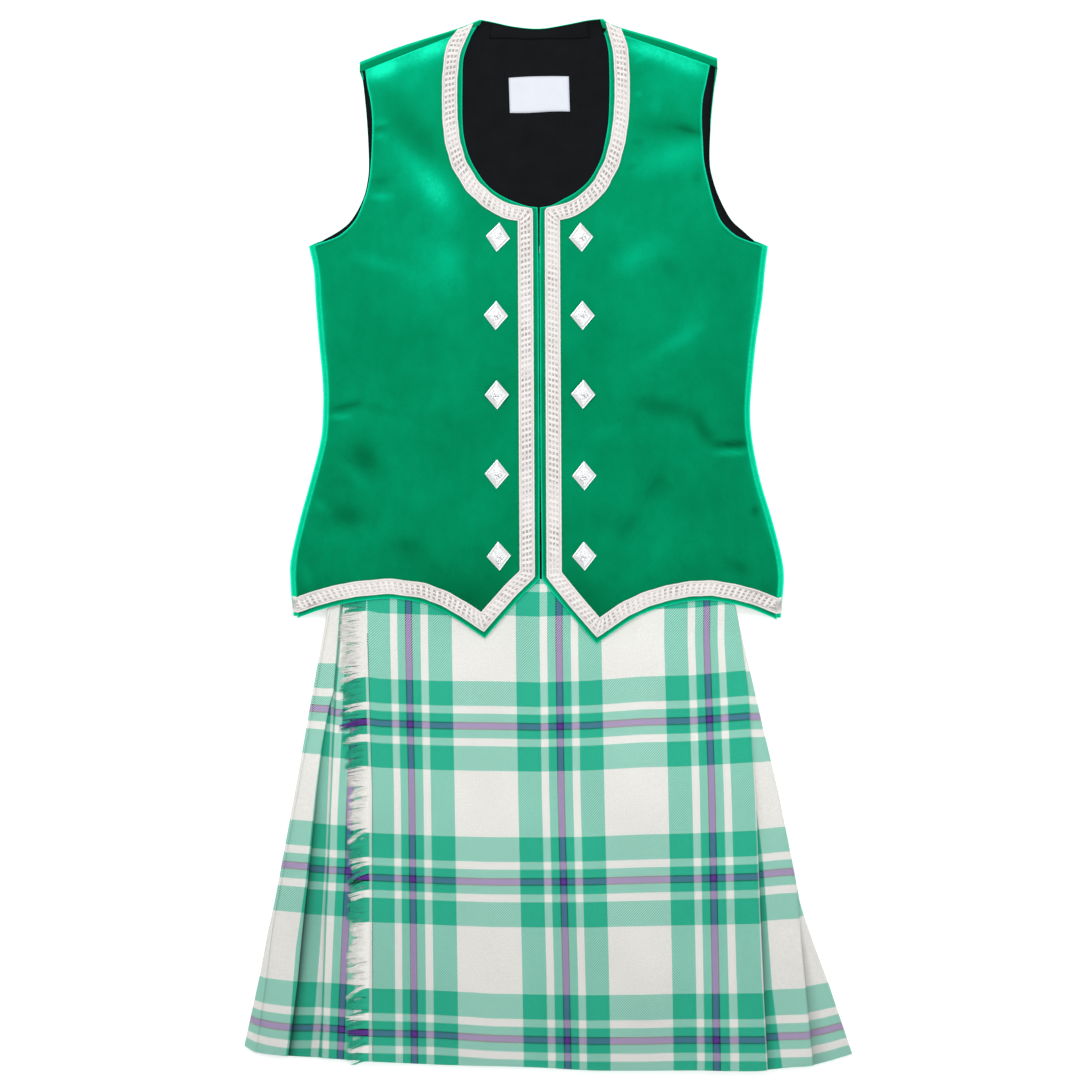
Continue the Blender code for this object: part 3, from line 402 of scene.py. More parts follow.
# Soft creases: each a line from one point to another
CREASE_OVERRUN = 0.4  # share of its length that it runs on past each end
CREASE_REACH = 3.0  # in half widths
CREASE_END = 0.35  # share of the height that is left at the ends
APRON_CREASES = [
    # x, y, x, y, half width, height
    (-54, -86, -48, -190, 9, 0.7),
    (-20, -96, -26, -230, 12, 0.5),
    (62, -84, 70, -170, 10, 0.8),
    (98, -120, 108, -260, 13, 0.6),
    (-76, -240, -70, -404, 12, 0.7),
    (-34, -300, -38, -412, 9, 0.9),
    (36, -270, 44, -414, 13, 0.8),
    (88, -320, 94, -416, 9, 1),
    (140, -300, 150, -416, 11, 0.8),
]
FRONT_CREASES = [
    # x, y, x, y, half width, height, change of tone: painted highlight on a ridge, painted shade in a trough,
    # and streaks of the pile
    (-139, 375, -114, 386, 7, 0.1, 0.37),
    (-122, 382, -84, 396, 6, 0.2, 0.09),
    (-98, 393, -68, 404, 8.5, 0.2, 0.31),
    (-132, 362, -80, 382, 20, 0.2, 0.05),
    (-119, 323, -92, 297, 8.5, 0.5, 0.07),
    (-96, 300, -70, 268, 10.5, 0.7, 0.18),
    (-118, 312, -64, 256, 19, 0.3, 0.05),
    (-79.6, 246.2, -66.8, 206, 11, 0.4, 0.08),
    (-146.8, 230.2, -111.6, 220.6, 6, 0.5, 0.06),
    (-121.2, 351.8, -79.6, 310.2, 12, -0.3, -0.08),
    (-127.6, 367.8, -111.6, 351.8, 8, -0.2, -0.05),
    (-132, 337.4, -121.2, 339.4, 1.9, 0.3, 0.11),
    (-132, 332.6, -122, 333.2, 1.9, -0.3, -0.10),
    (-132, 327.4, -122.8, 325.6, 2, 0.3, 0.08),
    (-133, 291, -121.2, 291.6, 2.8, -0.3, -0.09),
    (-136, 279, -118, 278.4, 3, 0.5, 0.12),
    (-166, 108.6, -143.6, 113.4, 3.2, -0.4, -0.13),
    (-143.6, 113.4, -114.8, 105.4, 4.2, -0.2, -0.06),
    (-169, 102.6, -150, 102.8, 2.6, 0.7, 0.12),
    (-146.8, 83, -130.8, 60.6, 9, -0.3, -0.09),
    (-159.6, 67, -134, 44.6, 5, 0.6, 0.06),
    (-166, 25.4, -137.2, 22.2, 10, -0.3, -0.10),
    (-180.8, 36, -170, 28, 4, 0.4, 0.09),
    (-118, 3, -95.6, -3.4, 8, -0.3, -0.08),
    (-190, -13, -182, -34, 5, 0.3, 0.07),
    (-178, 224, -171.4, 121.4, 4.2, 0, 0.12),
    (-171.4, 96, -190.6, 12.6, 3.6, 0, 0.10),
    (-105, 245, -70, 196, 28, 0.2, 0.04),
    (-66, -34, -40, -52, 12, 0, -0.06),
    (-100, 176, -78, 150, 16, -0.2, -0.03),
    (68, 400.6, 104, 391, 6.5, 0.2, 0.26),
    (100, 391, 134.8, 378, 7.5, 0.2, 0.22),
    (84, 378, 126, 364, 18, 0.2, 0.04),
    (80.4, 335.8, 126.8, 331, 7, -0.3, -0.09),
    (110.4, 335.2, 130, 328.4, 2.8, -0.4, -0.13),
    (80.4, 302.6, 128.8, 316.6, 10, 0.8, 0.10),
    (88, 356, 100, 352, 12, 0.2, 0.05),
    (54.8, 215.4, 92, 240.8, 9, 0.5, 0.08),
    (78.4, 143.8, 134.8, 179, 6, 0.5, 0.07),
    (112, 160, 141, 217, 9, 0.2, 0.05),
    (97.6, 224.8, 114.4, 216.4, 8, -0.2, -0.06),
    (74, 115, 122, 105.4, 7, -0.3, -0.08),
    (122, 105.4, 138, 80.8, 6, -0.4, -0.11),
    (140.2, 80.6, 168.8, 81.8, 2.8, -0.5, -0.19),
    (138.6, 73.6, 169.4, 74.6, 2.8, 1, 0.15),
    (88, 52, 98, 44, 12, -0.2, -0.05),
    (66, 20, 76, 12, 12, -0.2, -0.06),
    (170.6, 30, 174, 26, 3.8, -0.3, -0.10),
    (152, -14, 166, -20, 5, -0.2, -0.07),
    (174.6, 220.6, 168, 121.4, 3.6, 0, 0.11),
    (170.2, 67, 187, 3, 4.2, 0, 0.14),
    (22.8, -17, 46, -54, 10, 0, -0.05),
    (127.6, 299, 125, 290, 4, -0.2, -0.07),
    (76, 387, 84, 388.6, 2.4, 0.2, 0.08),
    (76, 360, 82, 361, 2.2, 0.2, 0.07),
    (74, 323, 82, 322, 2, -0.2, -0.07),
    (70, 302, 78, 302.6, 2, -0.2, -0.07),
    (66, 96, 44, 88, 5, 0.2, 0.04),
]
LINING_CREASES = [
    # x, y, x, y, half width, height
    (-3, 352, 3, 286, 2.2, 1.1),
    (9, 340, 12, 292, 2.6, 0.9),
    (-14, 334, -20, 300, 3, 0.8),
    (28, 384, 33, 330, 3.4, 0.8),
    (-36, 392, -40, 336, 3.2, 0.7),
    (40, 322, 24, 300, 2.8, 0.7),
    (-44, 352, -34, 306, 2.6, 0.8),
    (16, 398, 20, 380, 2.4, 0.6),
]
BACK_CREASES = [
    # x, y, x, y, half width, height, change of tone, which is painted light and shade on the crease
    (-150, 100, -96, 112, 9, 0.7, -0.06),
    (-146, 84, -104, 60, 8, 0.6, 0.05),
    (148, 104, 100, 122, 10, 0.7, -0.07),
    (142, 78, 110, 52, 8, 0.5, 0.06),
    (-20, 300, -8, 180, 14, 0.5, 0.05),
    (30, 40, 22, -30, 11, 0.5, 0.04),
    (-96, 300, -60, 226, 16, 0.4, 0.06),
    (100, 320, 70, 250, 15, 0.4, 0.05),
]

# Tone of the velvet, from 0 where it is darkest to 1 where it is brightest: the pile's own light and dark,
# with painted shade and highlights on its creases and painted sheen on its turned edges
FRONT_TONES = [
    # y, tone, darker towards the hem
    (-60, 0.45), (-30, 0.49), (0, 0.535), (50, 0.54), (100, 0.545), (150, 0.555), (200, 0.57),
    (250, 0.59), (300, 0.605), (390, 0.62),
]
BACK_TONE = 0.57
SIDE_TONES = (1.0, 0.78, 0.90)  # painted sheen on the back's edge: where it turns, on its top and at its end
# painted sheen on the back's edge over the shoulders, then along its rim
SHOULDER_TONES = (0.78, 0.55, 0.53)
LIP_TONES = (0.84, 0.84, 0.84)
HEM_GLOW = {0: 0.16, 1: 0.09}  # painted sheen on a front's last two rows, by the hem

# Soft shade in the hollows to the right of the kilt's folds
HOLLOWS = {
    # fold: its place in KILT_ROWS, depth and reach of the shade, y where it starts, y where it is full
    "valley": (3, 0.48, 3.8, -122.0, -300.0),
    "right pleat": (6, 0.24, 1.6, -150.0, -300.0),
    "right side": (7, 0.12, 1.6, -288.0, -320.0),
}
# Painted light that falls off towards the hem, over all of the kilt's cloth
KILT_TONES = [
    # y, tone
    (-60, 1.024), (-200, 1.004), (-320, 0.966), (-410, 0.945),
]
SLIVER_ROWS = [
    # y, width of the back's edge that shows beside the left pleat
    (-408, 7.6), (-350, 3.6), (-296, 0.5), (84.6, 0.5),
]


# Stage, in metres and watts
FLOOR_HALF = 3.0
FLOOR_DROP = 0.0002  # below the cloth, so that the two don't meet
ROOM_LIGHT = 0.62
LAMPS = (
    # name, place, width, power
    ("Key light", (-0.5, 1.5, 2.3), 1.6, 30.0),
    ("Fill light", (0.9, -0.6, 2.4), 1.8, 12.0),
)
CAMERA_PLACE = (0.0004, 0.0046)


# Numbers

def clamp(share):
    return max(0.0, min(1.0, share))


def between(start, end, share):
    """The point at a share of the way from one to another."""
    return tuple(a + share * (b - a) for a, b in zip(start, end))


def interpolate(table, position, column):
    """Read a column of a table whose first column rises or falls steadily."""
    rows = sorted(table)
    if position <= rows[0][0]:
        return rows[0][column]
    for low, high in zip(rows, rows[1:]):
        if position <= high[0]:
            share = (position - low[0]) / (high[0] - low[0])
            return low[column] + share * (high[column] - low[column])
    return rows[-1][column]


def read_curve(table, position, column):
    """Read a column on a smooth curve through the table's rows."""
    rows = sorted(table)
    last = len(rows) - 1
    if position <= rows[0][0] or position >= rows[last][0]:
        return interpolate(table, position, column)
    index = max(i for i in range(last) if rows[i][0] <= position)

    def slope(i):
        before, after = rows[max(i - 1, 0)], rows[min(i + 1, last)]
        return (after[column] - before[column]) / (after[0] - before[0])

    low, high = rows[index], rows[index + 1]
    width = high[0] - low[0]
    return hermite(low[column], high[column], slope(index) * width, slope(index + 1) * width,
                   (position - low[0]) / width)


def hermite(start, end, start_slope, end_slope, share):
    square, cube = share * share, share * share * share
    return ((2.0 * cube - 3.0 * square + 1.0) * start + (cube - 2.0 * square + share) * start_slope
            + (3.0 * square - 2.0 * cube) * end + (cube - square) * end_slope)


def smooth(share):
    share = clamp(share)
    return share * share * (3.0 - 2.0 * share)


def refined(points, pieces, corners=()):
    """Points on a smooth curve through others, some of which stay corners."""
    last = len(points) - 1
    size = range(len(points[0]))

    def slope(index, side):
        before, after = max(index - 1, 0), min(index + 1, last)
        if index in corners:
            before, after = (index, after) if side > 0 else (before, index)
        span = max(after - before, 1)
        return [(points[after][k] - points[before][k]) / span for k in size]

    fine = [tuple(points[0])]
    for index in range(last):
        start, end = slope(index, 1), slope(index + 1, -1)
        for piece in range(1, pieces + 1):
            share = piece / pieces
            fine.append(tuple(hermite(points[index][k], points[index + 1][k], start[k], end[k], share)
                              for k in size))
    return fine


def normals_along(points, closed):
    """Left-hand unit normals of a flat path, with the stretch that keeps its offset mitred."""
    count = len(points)
    found = []
    for index in range(count):
        here = points[index]
        before = points[index - 1] if closed or index > 0 else None
        after = points[(index + 1) % count] if closed or index < count - 1 else None
        sides = []
        for start, end in ((before, here), (here, after)):
            if start is None or end is None:
                continue
            length = math.hypot(end[0] - start[0], end[1] - start[1])
            if length > 1e-9:
                sides.append((-(end[1] - start[1]) / length, (end[0] - start[0]) / length))
        nx, ny = sum(side[0] for side in sides), sum(side[1] for side in sides)
        stretch = len(sides) / max(nx * nx + ny * ny, SHARPEST_CORNER)
        found.append((nx * stretch, ny * stretch))
    return found


def crease_height(x, y, creases, column=0):
    """Height of soft ridges at a point, or their change of tone, which is painted light and shade, fading at
    ends and sides.
    """
    height = 0.0
    for x0, y0, x1, y1, half_width, *values in creases:
        dx, dy = x1 - x0, y1 - y0
        along = ((x - x0) * dx + (y - y0) * dy) / (dx * dx + dy * dy)
        if not -CREASE_OVERRUN < along < 1.0 + CREASE_OVERRUN:
            continue
        nearest = clamp(along)
        distance = math.hypot(x - x0 - nearest * dx, y - y0 - nearest * dy)
        if distance < CREASE_REACH * half_width:
            fade = math.exp(-(distance / half_width) ** 2)
            height += values[column] * fade * (CREASE_END + (1.0 - CREASE_END) * math.sin(math.pi * nearest))
    return height


# Kilt heights, outlines and tartan coordinates

def level(number):
    """Middle height of a cloth layer above the kilt's own base: 0 is the back, 7 the top apron."""
    return TARTAN / 2.0 + number * LAYER_PITCH


def kilt_base(y):
    """Height of the kilt's underside: on the lining, then down to the surface."""
    share = (y - RAMP_FOOT_Y) / (RAMP_TOP_Y - RAMP_FOOT_Y)
    return KILT_BASE_INSIDE * clamp(share)


def kilt_value(y, column):
    return interpolate(KILT_ROWS, y, column)


def under_apron_height(x, under_fold):
    return level(5) - APRON_SAG * smooth((x - under_fold - APRON_SAG_START) / APRON_SAG_LENGTH)


def apron_height(x, under_fold, apron_fold):
    """The top apron lies on the under apron and rises over its own underlay, beside its folded edge."""
    rise_end = apron_fold - APRON_UNDERLAY - APRON_RISE_GAP
    lift = level(7) - level(5) + APRON_SAG - APRON_PITCH
    rise = lift * smooth((x - rise_end + APRON_RISE_LENGTH) / APRON_RISE_LENGTH)
    return under_apron_height(x, under_fold) + APRON_PITCH + rise


def kilt_row_y(row_y):
    """The height line of a kilt row, bent along its length towards the hem's own curve."""
    share = max(0.0, (RAMP_FOOT_Y - row_y) / (RAMP_FOOT_Y - KILT_ROWS[-1][0]))
    spread = KILT_ROWS[-1][1] / kilt_value(row_y, 1)

    def y_at(x):
        return row_y + share * read_curve(KILT_HEM_DROP, x * spread, 1)

    return y_at


def warp_at(panel, x, y):
    """Place across the cloth, in tartan repeats from a purple warp line."""
    shares, rows = WARP_LINES[panel]
    lines = [interpolate(rows, y, column + 1) for column in range(len(shares))]
    if x <= lines[0] or len(lines) == 1:
        return shares[0] + (x - lines[0]) / SETT_ACROSS
    for index in range(len(lines) - 1):
        if x <= lines[index + 1]:
            share = (x - lines[index]) / (lines[index + 1] - lines[index])
            return shares[index] + share * (shares[index + 1] - shares[index])
    return shares[-1] + (x - lines[-1]) / SETT_ACROSS


def weft_at(panel, x, y):
    """Place down the cloth, in tartan repeats, which grows towards the hem."""
    first, second, third = (interpolate(WEFT_LINES[panel], x, column) for column in (1, 2, 3))
    if y > second:
        return 2.0 - (y - second) / (first - second)
    return 3.0 - (y - third) / (second - third)


# Meshes

def build_mesh(name, points, faces, uv=None, tone=None):
    """Mesh through points in millimetres, with cloth coordinates and a tone for each point."""
    mesh = bpy.data.meshes.new(name)
    mesh.from_pydata([(x * MM, y * MM, z * MM) for x, y, z in points], [], faces)
    mesh.validate()
    if uv:
        layer = mesh.uv_layers.new(name="Cloth")
        for loop in mesh.loops:
            layer.data[loop.index].uv = uv[loop.vertex_index]
    if tone:
        values = mesh.attributes.new("Tone", "FLOAT", "POINT")
        values.data.foreach_set("value", tone)
    mesh.shade_smooth()
    mesh.set_sharp_from_angle(angle=CRISP_ANGLE)
    mesh.update()
    return mesh


def add_piece(mesh, material, nodes=()):
    item = bpy.data.objects.new(mesh.name, mesh)
    bpy.context.scene.collection.objects.link(item)
    mesh.materials.append(material)
    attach(item, "root")
    if nodes:
        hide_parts(*nodes)
    return item


def add_wall(item, thickness):
    """Gives an open cloth surface its thickness, on the side that its faces look away from."""
    wall = item.modifiers.new("Wall", "SOLIDIFY")
    wall.thickness = thickness * MM
    wall.offset = -1.0
    wall.use_even_offset = False


def grid_faces(rows, columns, start=0, flip=False):
    faces = []
    for i in range(rows - 1):
        for j in range(columns - 1):
            a = start + i * columns + j
            face = (a, a + 1, a + columns + 1, a + columns)
            faces.append(face[::-1] if flip else face)
    return faces


def ring_faces(lower, upper, closed=False, flip=False):
    """Faces between two runs of points that lie side by side."""
    count = len(lower)
    faces = []
    for k in range(count if closed else count - 1):
        after = (k + 1) % count
        face = (lower[k], upper[k], upper[after], lower[after])
        faces.append(face[::-1] if flip else face)
    return faces


def add_cloth(name, points, columns, material, nodes, wall, flip=False):
    """A piece of cloth through rows of points, with its thickness."""
    mesh = build_mesh(name, points, grid_faces(len(points) // columns, columns, flip=flip))
    item = add_piece(mesh, material, nodes)
    add_wall(item, wall)
    return item


class Tubes:
    """Round or flattened threads, gathered into one mesh."""

    def __init__(self, sides):
        self.sides = sides
        self.points, self.faces, self.uv = [], [], []

    def add(self, path, widths, heights, uv=(0.0, 0.0)):
        """A thread along a path; widths and heights are its half sizes at each point."""
        start = len(self.points)
        last = len(path) - 1
        for index, (x, y, z) in enumerate(path):
            before, after = path[max(index - 1, 0)], path[min(index + 1, last)]
            run = math.hypot(after[0] - before[0], after[1] - before[1]) or 1.0
            across = (-(after[1] - before[1]) / run, (after[0] - before[0]) / run)
            for side in range(self.sides):
                angle = 2.0 * math.pi * side / self.sides
                out, up = widths[index] * math.cos(angle), heights[index] * math.sin(angle)
                self.points.append((x + across[0] * out, y + across[1] * out, z + up))
                self.uv.append(uv)
        for ring in range(last):
            for side in range(self.sides):
                a = start + ring * self.sides + side
                b = start + ring * self.sides + (side + 1) % self.sides
                self.faces.append((a, b, b + self.sides, a + self.sides))
        self.faces.append(tuple(range(start + self.sides - 1, start - 1, -1)))
        end = start + last * self.sides
        self.faces.append(tuple(range(end, end + self.sides)))

    def mesh(self, name):
        return build_mesh(name, self.points, self.faces, uv=self.uv)


def surface_reader(items):
    """A function that gives the top surface's height in millimetres at a place."""
    bpy.context.view_layer.update()
    depsgraph = bpy.context.evaluated_depsgraph_get()
    trees = [BVHTree.FromObject(item, depsgraph) for item in items]

    def height(x, y):
        found = [tree.ray_cast((x * MM, y * MM, RAY_TOP), (0.0, 0.0, -1.0)) for tree in trees]
        heights = [hit[0].z / MM for hit in found if hit[0] is not None]
        if not heights:
            raise ValueError(f"no cloth under {x:.1f}, {y:.1f}")
        return max(heights)

    return height


# Shader

def display(red, green, blue):
    """Scene-linear colour of display values from 0 to 255."""
    linear = []
    for value in (red, green, blue):
        value /= 255.0
        linear.append(value / 12.92 if value <= 0.04045 else ((value + 0.055) / 1.055) ** 2.4)
    return tuple(linear)


def math_node(operation, reflected=False):
    """A method of Signal that adds one Math node."""
    def method(self, *others):
        values = (*others, self) if reflected else (self, *others)
        return self.look.node("ShaderNodeMath", {"operation": operation}, dict(enumerate(values)))

    return method


class Signal:
    """A shader socket that is used like a number in an expression."""

    def __init__(self, look, socket):
        self.look = look
        self.socket = socket

    __add__ = __radd__ = math_node("ADD")
    __sub__ = math_node("SUBTRACT")
    __rsub__ = math_node("SUBTRACT", reflected=True)
    __mul__ = __rmul__ = math_node("MULTIPLY")
    __truediv__ = math_node("DIVIDE")
    __mod__ = math_node("FLOORED_MODULO")
    __lt__ = math_node("LESS_THAN")
    __gt__ = math_node("GREATER_THAN")
    __abs__ = math_node("ABSOLUTE")
    floor = math_node("FLOOR")
    sine = math_node("SINE")
    at_least = math_node("MAXIMUM")
    at_most = math_node("MINIMUM")

    def clamped(self):
        return self.at_least(0.0).at_most(1.0)


class Look:
    """Node tree of one material, built with a few calls."""

    def __init__(self, name, **fixed):
        self.material = bpy.data.materials.new(name)
        self.material.use_nodes = True
        self.tree = self.material.node_tree
        self.shader = self.tree.nodes["Principled BSDF"]
        for key, value in fixed.items():
            self.shader.inputs[key.replace("_", " ")].default_value = value

    def node(self, kind, settings=None, inputs=None, output=0):
        """Any node: its settings are set first, then the values or links of its sockets."""
        node = self.tree.nodes.new(kind)
        for key, value in (settings or {}).items():
            if key == "stops":
                self.set_stops(node.color_ramp, value)
            elif key == "interpolation":
                node.color_ramp.interpolation = value
            else:
                setattr(node, key, value)
        for key, value in (inputs or {}).items():
            if isinstance(value, Signal):
                self.tree.links.new(value.socket, node.inputs[key])
            else:
                node.inputs[key].default_value = value
        return Signal(self, node.outputs[output])

    @staticmethod
    def set_stops(ramp, stops):
        while len(ramp.elements) < len(stops):
            ramp.elements.new(1.0)
        for element, (place, colour) in zip(ramp.elements, stops):
            element.position = place
            element.color = (*colour, 1.0)

    def feed(self, socket, signal):
        self.tree.links.new(signal.socket, self.shader.inputs[socket])

    def place(self):
        """Place on the object, in metres."""
        return self.node("ShaderNodeTexCoord", output=3)

    def tone(self):
        """The number that each point of the mesh carries."""
        return self.node("ShaderNodeAttribute", {"attribute_name": "Tone"}, output=2)

    def cloth(self):
        """Place across and down the cloth, in repeats of the tartan."""
        across, down, _ = self.parts(self.node("ShaderNodeUVMap", {"uv_map": "Cloth"}))
        return across, down

    def ramp(self, value, stops, interpolation="LINEAR"):
        return self.node("ShaderNodeValToRGB", {"stops": stops, "interpolation": interpolation}, {0: value})

    def parts(self, vector):
        source = self.node("ShaderNodeSeparateXYZ", inputs={0: vector})
        outputs = source.socket.node.outputs
        return [Signal(self, outputs[index]) for index in range(3)]

    def noise(self, vector, scale, detail=2.0, roughness=0.5, distortion=0.0):
        return self.node("ShaderNodeTexNoise", inputs={
            "Vector": vector, "Scale": scale, "Detail": detail, "Roughness": roughness,
            "Distortion": distortion})

    def stretched(self, vector, scale):
        return self.node("ShaderNodeVectorMath", {"operation": "MULTIPLY"}, {0: vector, 1: scale})

    def mixed(self, factor, first, second, blend="MIX"):
        inputs = {0: factor}
        for index, colour in ((6, first), (7, second)):
            inputs[index] = colour if isinstance(colour, Signal) else (*colour, 1.0)
        return self.node("ShaderNodeMix", {"data_type": "RGBA", "blend_type": blend}, inputs, output=2)

    def shaded(self, colour, shade):
        grey = self.node("ShaderNodeCombineXYZ", inputs={0: shade, 1: shade, 2: shade})
        return self.mixed(1.0, colour, grey, "MULTIPLY")

    def ranged(self, value, low, high, start=0.0, end=1.0):
        """A value from start to end as another goes from low to high, held at both ends."""
        return self.node("ShaderNodeMapRange", {"interpolation_type": "SMOOTHSTEP"}, {
            0: value, 1: low, 2: high, 3: start, 4: end})

    def slit_shade(self):
        """Dark between the two fronts, where hardly any light comes in."""
        x, y, _ = self.parts(self.place())
        inside = self.ranged(abs(x), *SLIT_SHADE_X, 1.0, 0.0) * self.ranged(y, *SLIT_SHADE_Y)
        return 1.0 - inside * SLIT_SHADE

    def bump(self, height, distance, strength=1.0):
        inputs = {"Height": height, "Distance": distance, "Strength": strength}
        self.feed("Normal", self.node("ShaderNodeBump", inputs=inputs))


def velvet_look(colours):
    """Green pile, dark where it lies down, with painted shade in creases, painted highlights on ridges and
    painted sheen that makes it bright on turned edges.
    """
    look = Look("Green velvet", Roughness=0.8, Sheen_Weight=0.3, Sheen_Roughness=0.35,
                Sheen_Tint=(0.0, 1.0, 0.62, 1.0), Specular_IOR_Level=0.02)
    place = look.place()
    nap_and_painted_light = look.tone()
    soft = look.noise(place, 17.0, detail=3.0, roughness=0.55)
    brushed = look.noise(look.stretched(place, (1.6, 1.0, 1.0)), 55.0, detail=3.0, roughness=0.6,
                         distortion=0.4)
    pile = look.noise(place, 800.0, roughness=0.7)
    highlit = look.ranged(nap_and_painted_light, 0.64, 0.9)
    speckle = look.noise(place, 480.0, roughness=0.6)
    # The tone carries painted shade in creases, painted highlights on ridges and painted sheen on turned
    # edges; the speckle shows in the brightest of them.
    tone = nap_and_painted_light + (soft - 0.5) * 0.17 + (brushed - 0.5) * 0.07 + (pile - 0.5) * 0.07
    tone = tone + (speckle - 0.5) * highlit * 0.2
    # Deepest stop: painted shade; the two brightest: painted highlight and painted sheen, besides pile that
    # is brushed up.
    look.feed("Base Color", look.ramp(tone, [
        (0.34, colours.velvet_crease_shade), (0.47, colours.velvet_low), (0.6, colours.velvet_mid),
        (0.72, colours.velvet_high), (0.95, colours.velvet_edge_sheen)]))
    look.bump(pile * 0.5 + brushed * 0.6, 0.0006, 0.45)
    return look.material


def sett_stops(colours):
    """The tartan's stripes as stops of a ramp, from a purple line's middle to half a repeat away."""
    starts = [0.0] + [2.0 * end for _, end in STRIPES[:-1]]
    return [(start, getattr(colours, name)) for start, (name, _) in zip(starts, STRIPES)]


def from_purple(thread, threads):
    """How far a thread is from the nearest purple line: 0 in its middle, 1 half a repeat away."""
    return (0.5 - abs((thread + 0.5) / threads % 1.0 - 0.5)) * 2.0


def tartan_look(colours, threads):
    """Two and two twill whose warp and weft carry the same stripes."""
    look = Look("Tartan wool", Roughness=0.88, Sheen_Weight=0.12, Sheen_Roughness=0.5,
                Specular_IOR_Level=0.15)
    across, down = look.cloth()
    warp, weft = (across * threads).floor(), (down * threads).floor()
    (_, purple_end), (_, guard_end) = STRIPES[:2]

    def guard(thread):
        place = from_purple(thread, threads)
        return (place > 2.0 * purple_end) * (place < 2.0 * guard_end)

    def stripe(thread):
        place = from_purple(thread, threads)
        dyes = [(start, [value ** (1.0 / DYE_GAMMA) for value in colour])
                for start, colour in sett_stops(colours)]
        return look.ramp(place, dyes, "CONSTANT")

    # Warp's share of the colour: high where it lies over the weft, and the black threads hide the others
    over = ((warp + weft) % 4.0) < 1.5
    blend = over * 0.5 + 0.28 + guard(warp) * (over * 0.6 - 0.1) + guard(weft) * (over * 0.4 - 0.3)
    blend = blend.clamped()
    cloth_colour = look.mixed(blend, stripe(weft), stripe(warp))
    place = look.place()
    fleck = look.noise(place, 700.0, roughness=0.7)
    soft = look.noise(place, 16.0)
    hollow = look.tone()
    # The tone carries painted shade beside the folds and painted light that falls off towards the hem; the
    # slit adds painted shade.
    shade = (0.92 + fleck * 0.09 + soft * 0.06) * hollow * look.slit_shade()
    cloth_colour = look.shaded(cloth_colour, shade)
    look.feed("Base Color", look.node("ShaderNodeGamma", inputs={0: cloth_colour, 1: DYE_GAMMA}))
    warp_round = abs((across * (threads * math.pi)).sine())
    weft_round = abs((down * (threads * math.pi)).sine())
    ridge = over * warp_round + (1 - over) * weft_round
    look.bump(ridge + (fleck - 0.5) * 0.6, 0.00022, 0.55)
    return look.material


def fringe_look(colours, threads):
    """Drawn weft threads, each in the colour of its place down the cloth."""
    look = Look("Fringe wool", Roughness=0.9, Sheen_Weight=0.15, Specular_IOR_Level=0.15)
    _, down = look.cloth()
    thread = look.ramp(from_purple((down * threads).floor(), threads), sett_stops(colours), "CONSTANT")
    fleck = look.noise(look.place(), 900.0, roughness=0.7)
    look.feed("Base Color", look.shaded(thread, 0.72 + fleck * 0.5))
    look.bump(fleck, 0.0002, 0.4)
    return look.material


def edge_thread_look(colours):
    """Dark green thread, lighter in places."""
    look = Look("Edge thread", Roughness=0.7)
    fleck = look.noise(look.place(), 900.0, roughness=0.6)
    look.feed("Base Color", look.mixed(fleck * 0.35, colours.stitch, colours.green))
    return look.material


def band_look(colours):
    """Plain white wool, with painted shade in the lining's black where it lies behind the slit."""
    look = Look("Band wool", Roughness=0.9, Sheen_Weight=0.15)
    fleck = look.noise(look.place(), 600.0, roughness=0.7)
    wool = look.mixed(fleck, colours.band, colours.white)
    look.feed("Base Color", look.mixed(1.0 - look.slit_shade(), wool, colours.lining))
    look.bump(fleck, 0.0003, 0.5)
    return look.material


def lining_look(colours):
    """Black plain weave with a faint shine on its creases."""
    look = Look("Black lining", Specular_IOR_Level=0.08)
    place = look.place()
    x, y, _ = look.parts(place)
    weave = abs((x * LINING_WEAVE).sine()) * 0.5 + abs((y * LINING_WEAVE).sine()) * 0.5
    soft = look.noise(place, 60.0, detail=3.0, roughness=0.6)
    look.feed("Base Color", look.mixed(look.ranged(soft, 0.2, 0.8), colours.lining, colours.lining_worn))
    look.feed("Roughness", 0.6 + soft * 0.15)
    look.bump(weave * 0.6 + soft * 0.4, 0.0002, 0.35)
    return look.material


def label_look(colours):
    """White woven ribbon with a fine rib."""
    look = Look("Label ribbon", Roughness=0.55, Specular_IOR_Level=0.35)
    place = look.place()
    x, y, _ = look.parts(place)
    rib = abs((y * LABEL_RIB).sine())
    fine = abs((x * LABEL_WARP).sine())
    soft = look.noise(place, 140.0, roughness=0.6)
    look.feed("Base Color", look.mixed(rib * 0.45 + soft * 0.3, colours.label, colours.label_shade))
    look.bump(rib * 0.7 + fine * 0.3, 0.0002, 0.4)
    return look.material


def braid_look(colours):
    """Silver thread over a pale core, with a fine twist."""
    look = Look("Silver braid", Metallic=0.1, Specular_IOR_Level=0.5)
    place = look.place()
    twist = look.noise(look.stretched(place, (1.0, 1.0, 2.0)), 1500.0, roughness=0.7)
    worn = look.noise(place, 90.0)
    colour = look.mixed(look.ranged(twist, 0.3, 0.75), colours.braid_shade, colours.braid)
    tan, _ = look.cloth()
    look.feed("Base Color", look.mixed((worn * 0.2 + tan).clamped(), colour, colours.braid_tan))
    look.feed("Roughness", 0.32 + twist * 0.3)
    look.bump(twist, 0.00025, 0.6)
    return look.material


def braid_ground_look(colours):
    """Tan and grey ground that shows between the braid's cords, darkened as painted shade in its holes."""
    look = Look("Braid ground", Metallic=0.1, Roughness=0.7)
    place = look.place()
    fleck = look.noise(place, 800.0, roughness=0.7)
    worn = look.noise(place, 34.0, detail=3.0, roughness=0.6)
    light = (look.ranged(fleck, 0.3, 0.7) * 0.45 + look.ranged(worn, 0.4, 0.62) * 0.42).clamped()
    look.feed("Base Color", look.mixed(light, colours.braid_ground, colours.braid_shade))
    look.bump(fleck, 0.0002, 0.5)
    return look.material


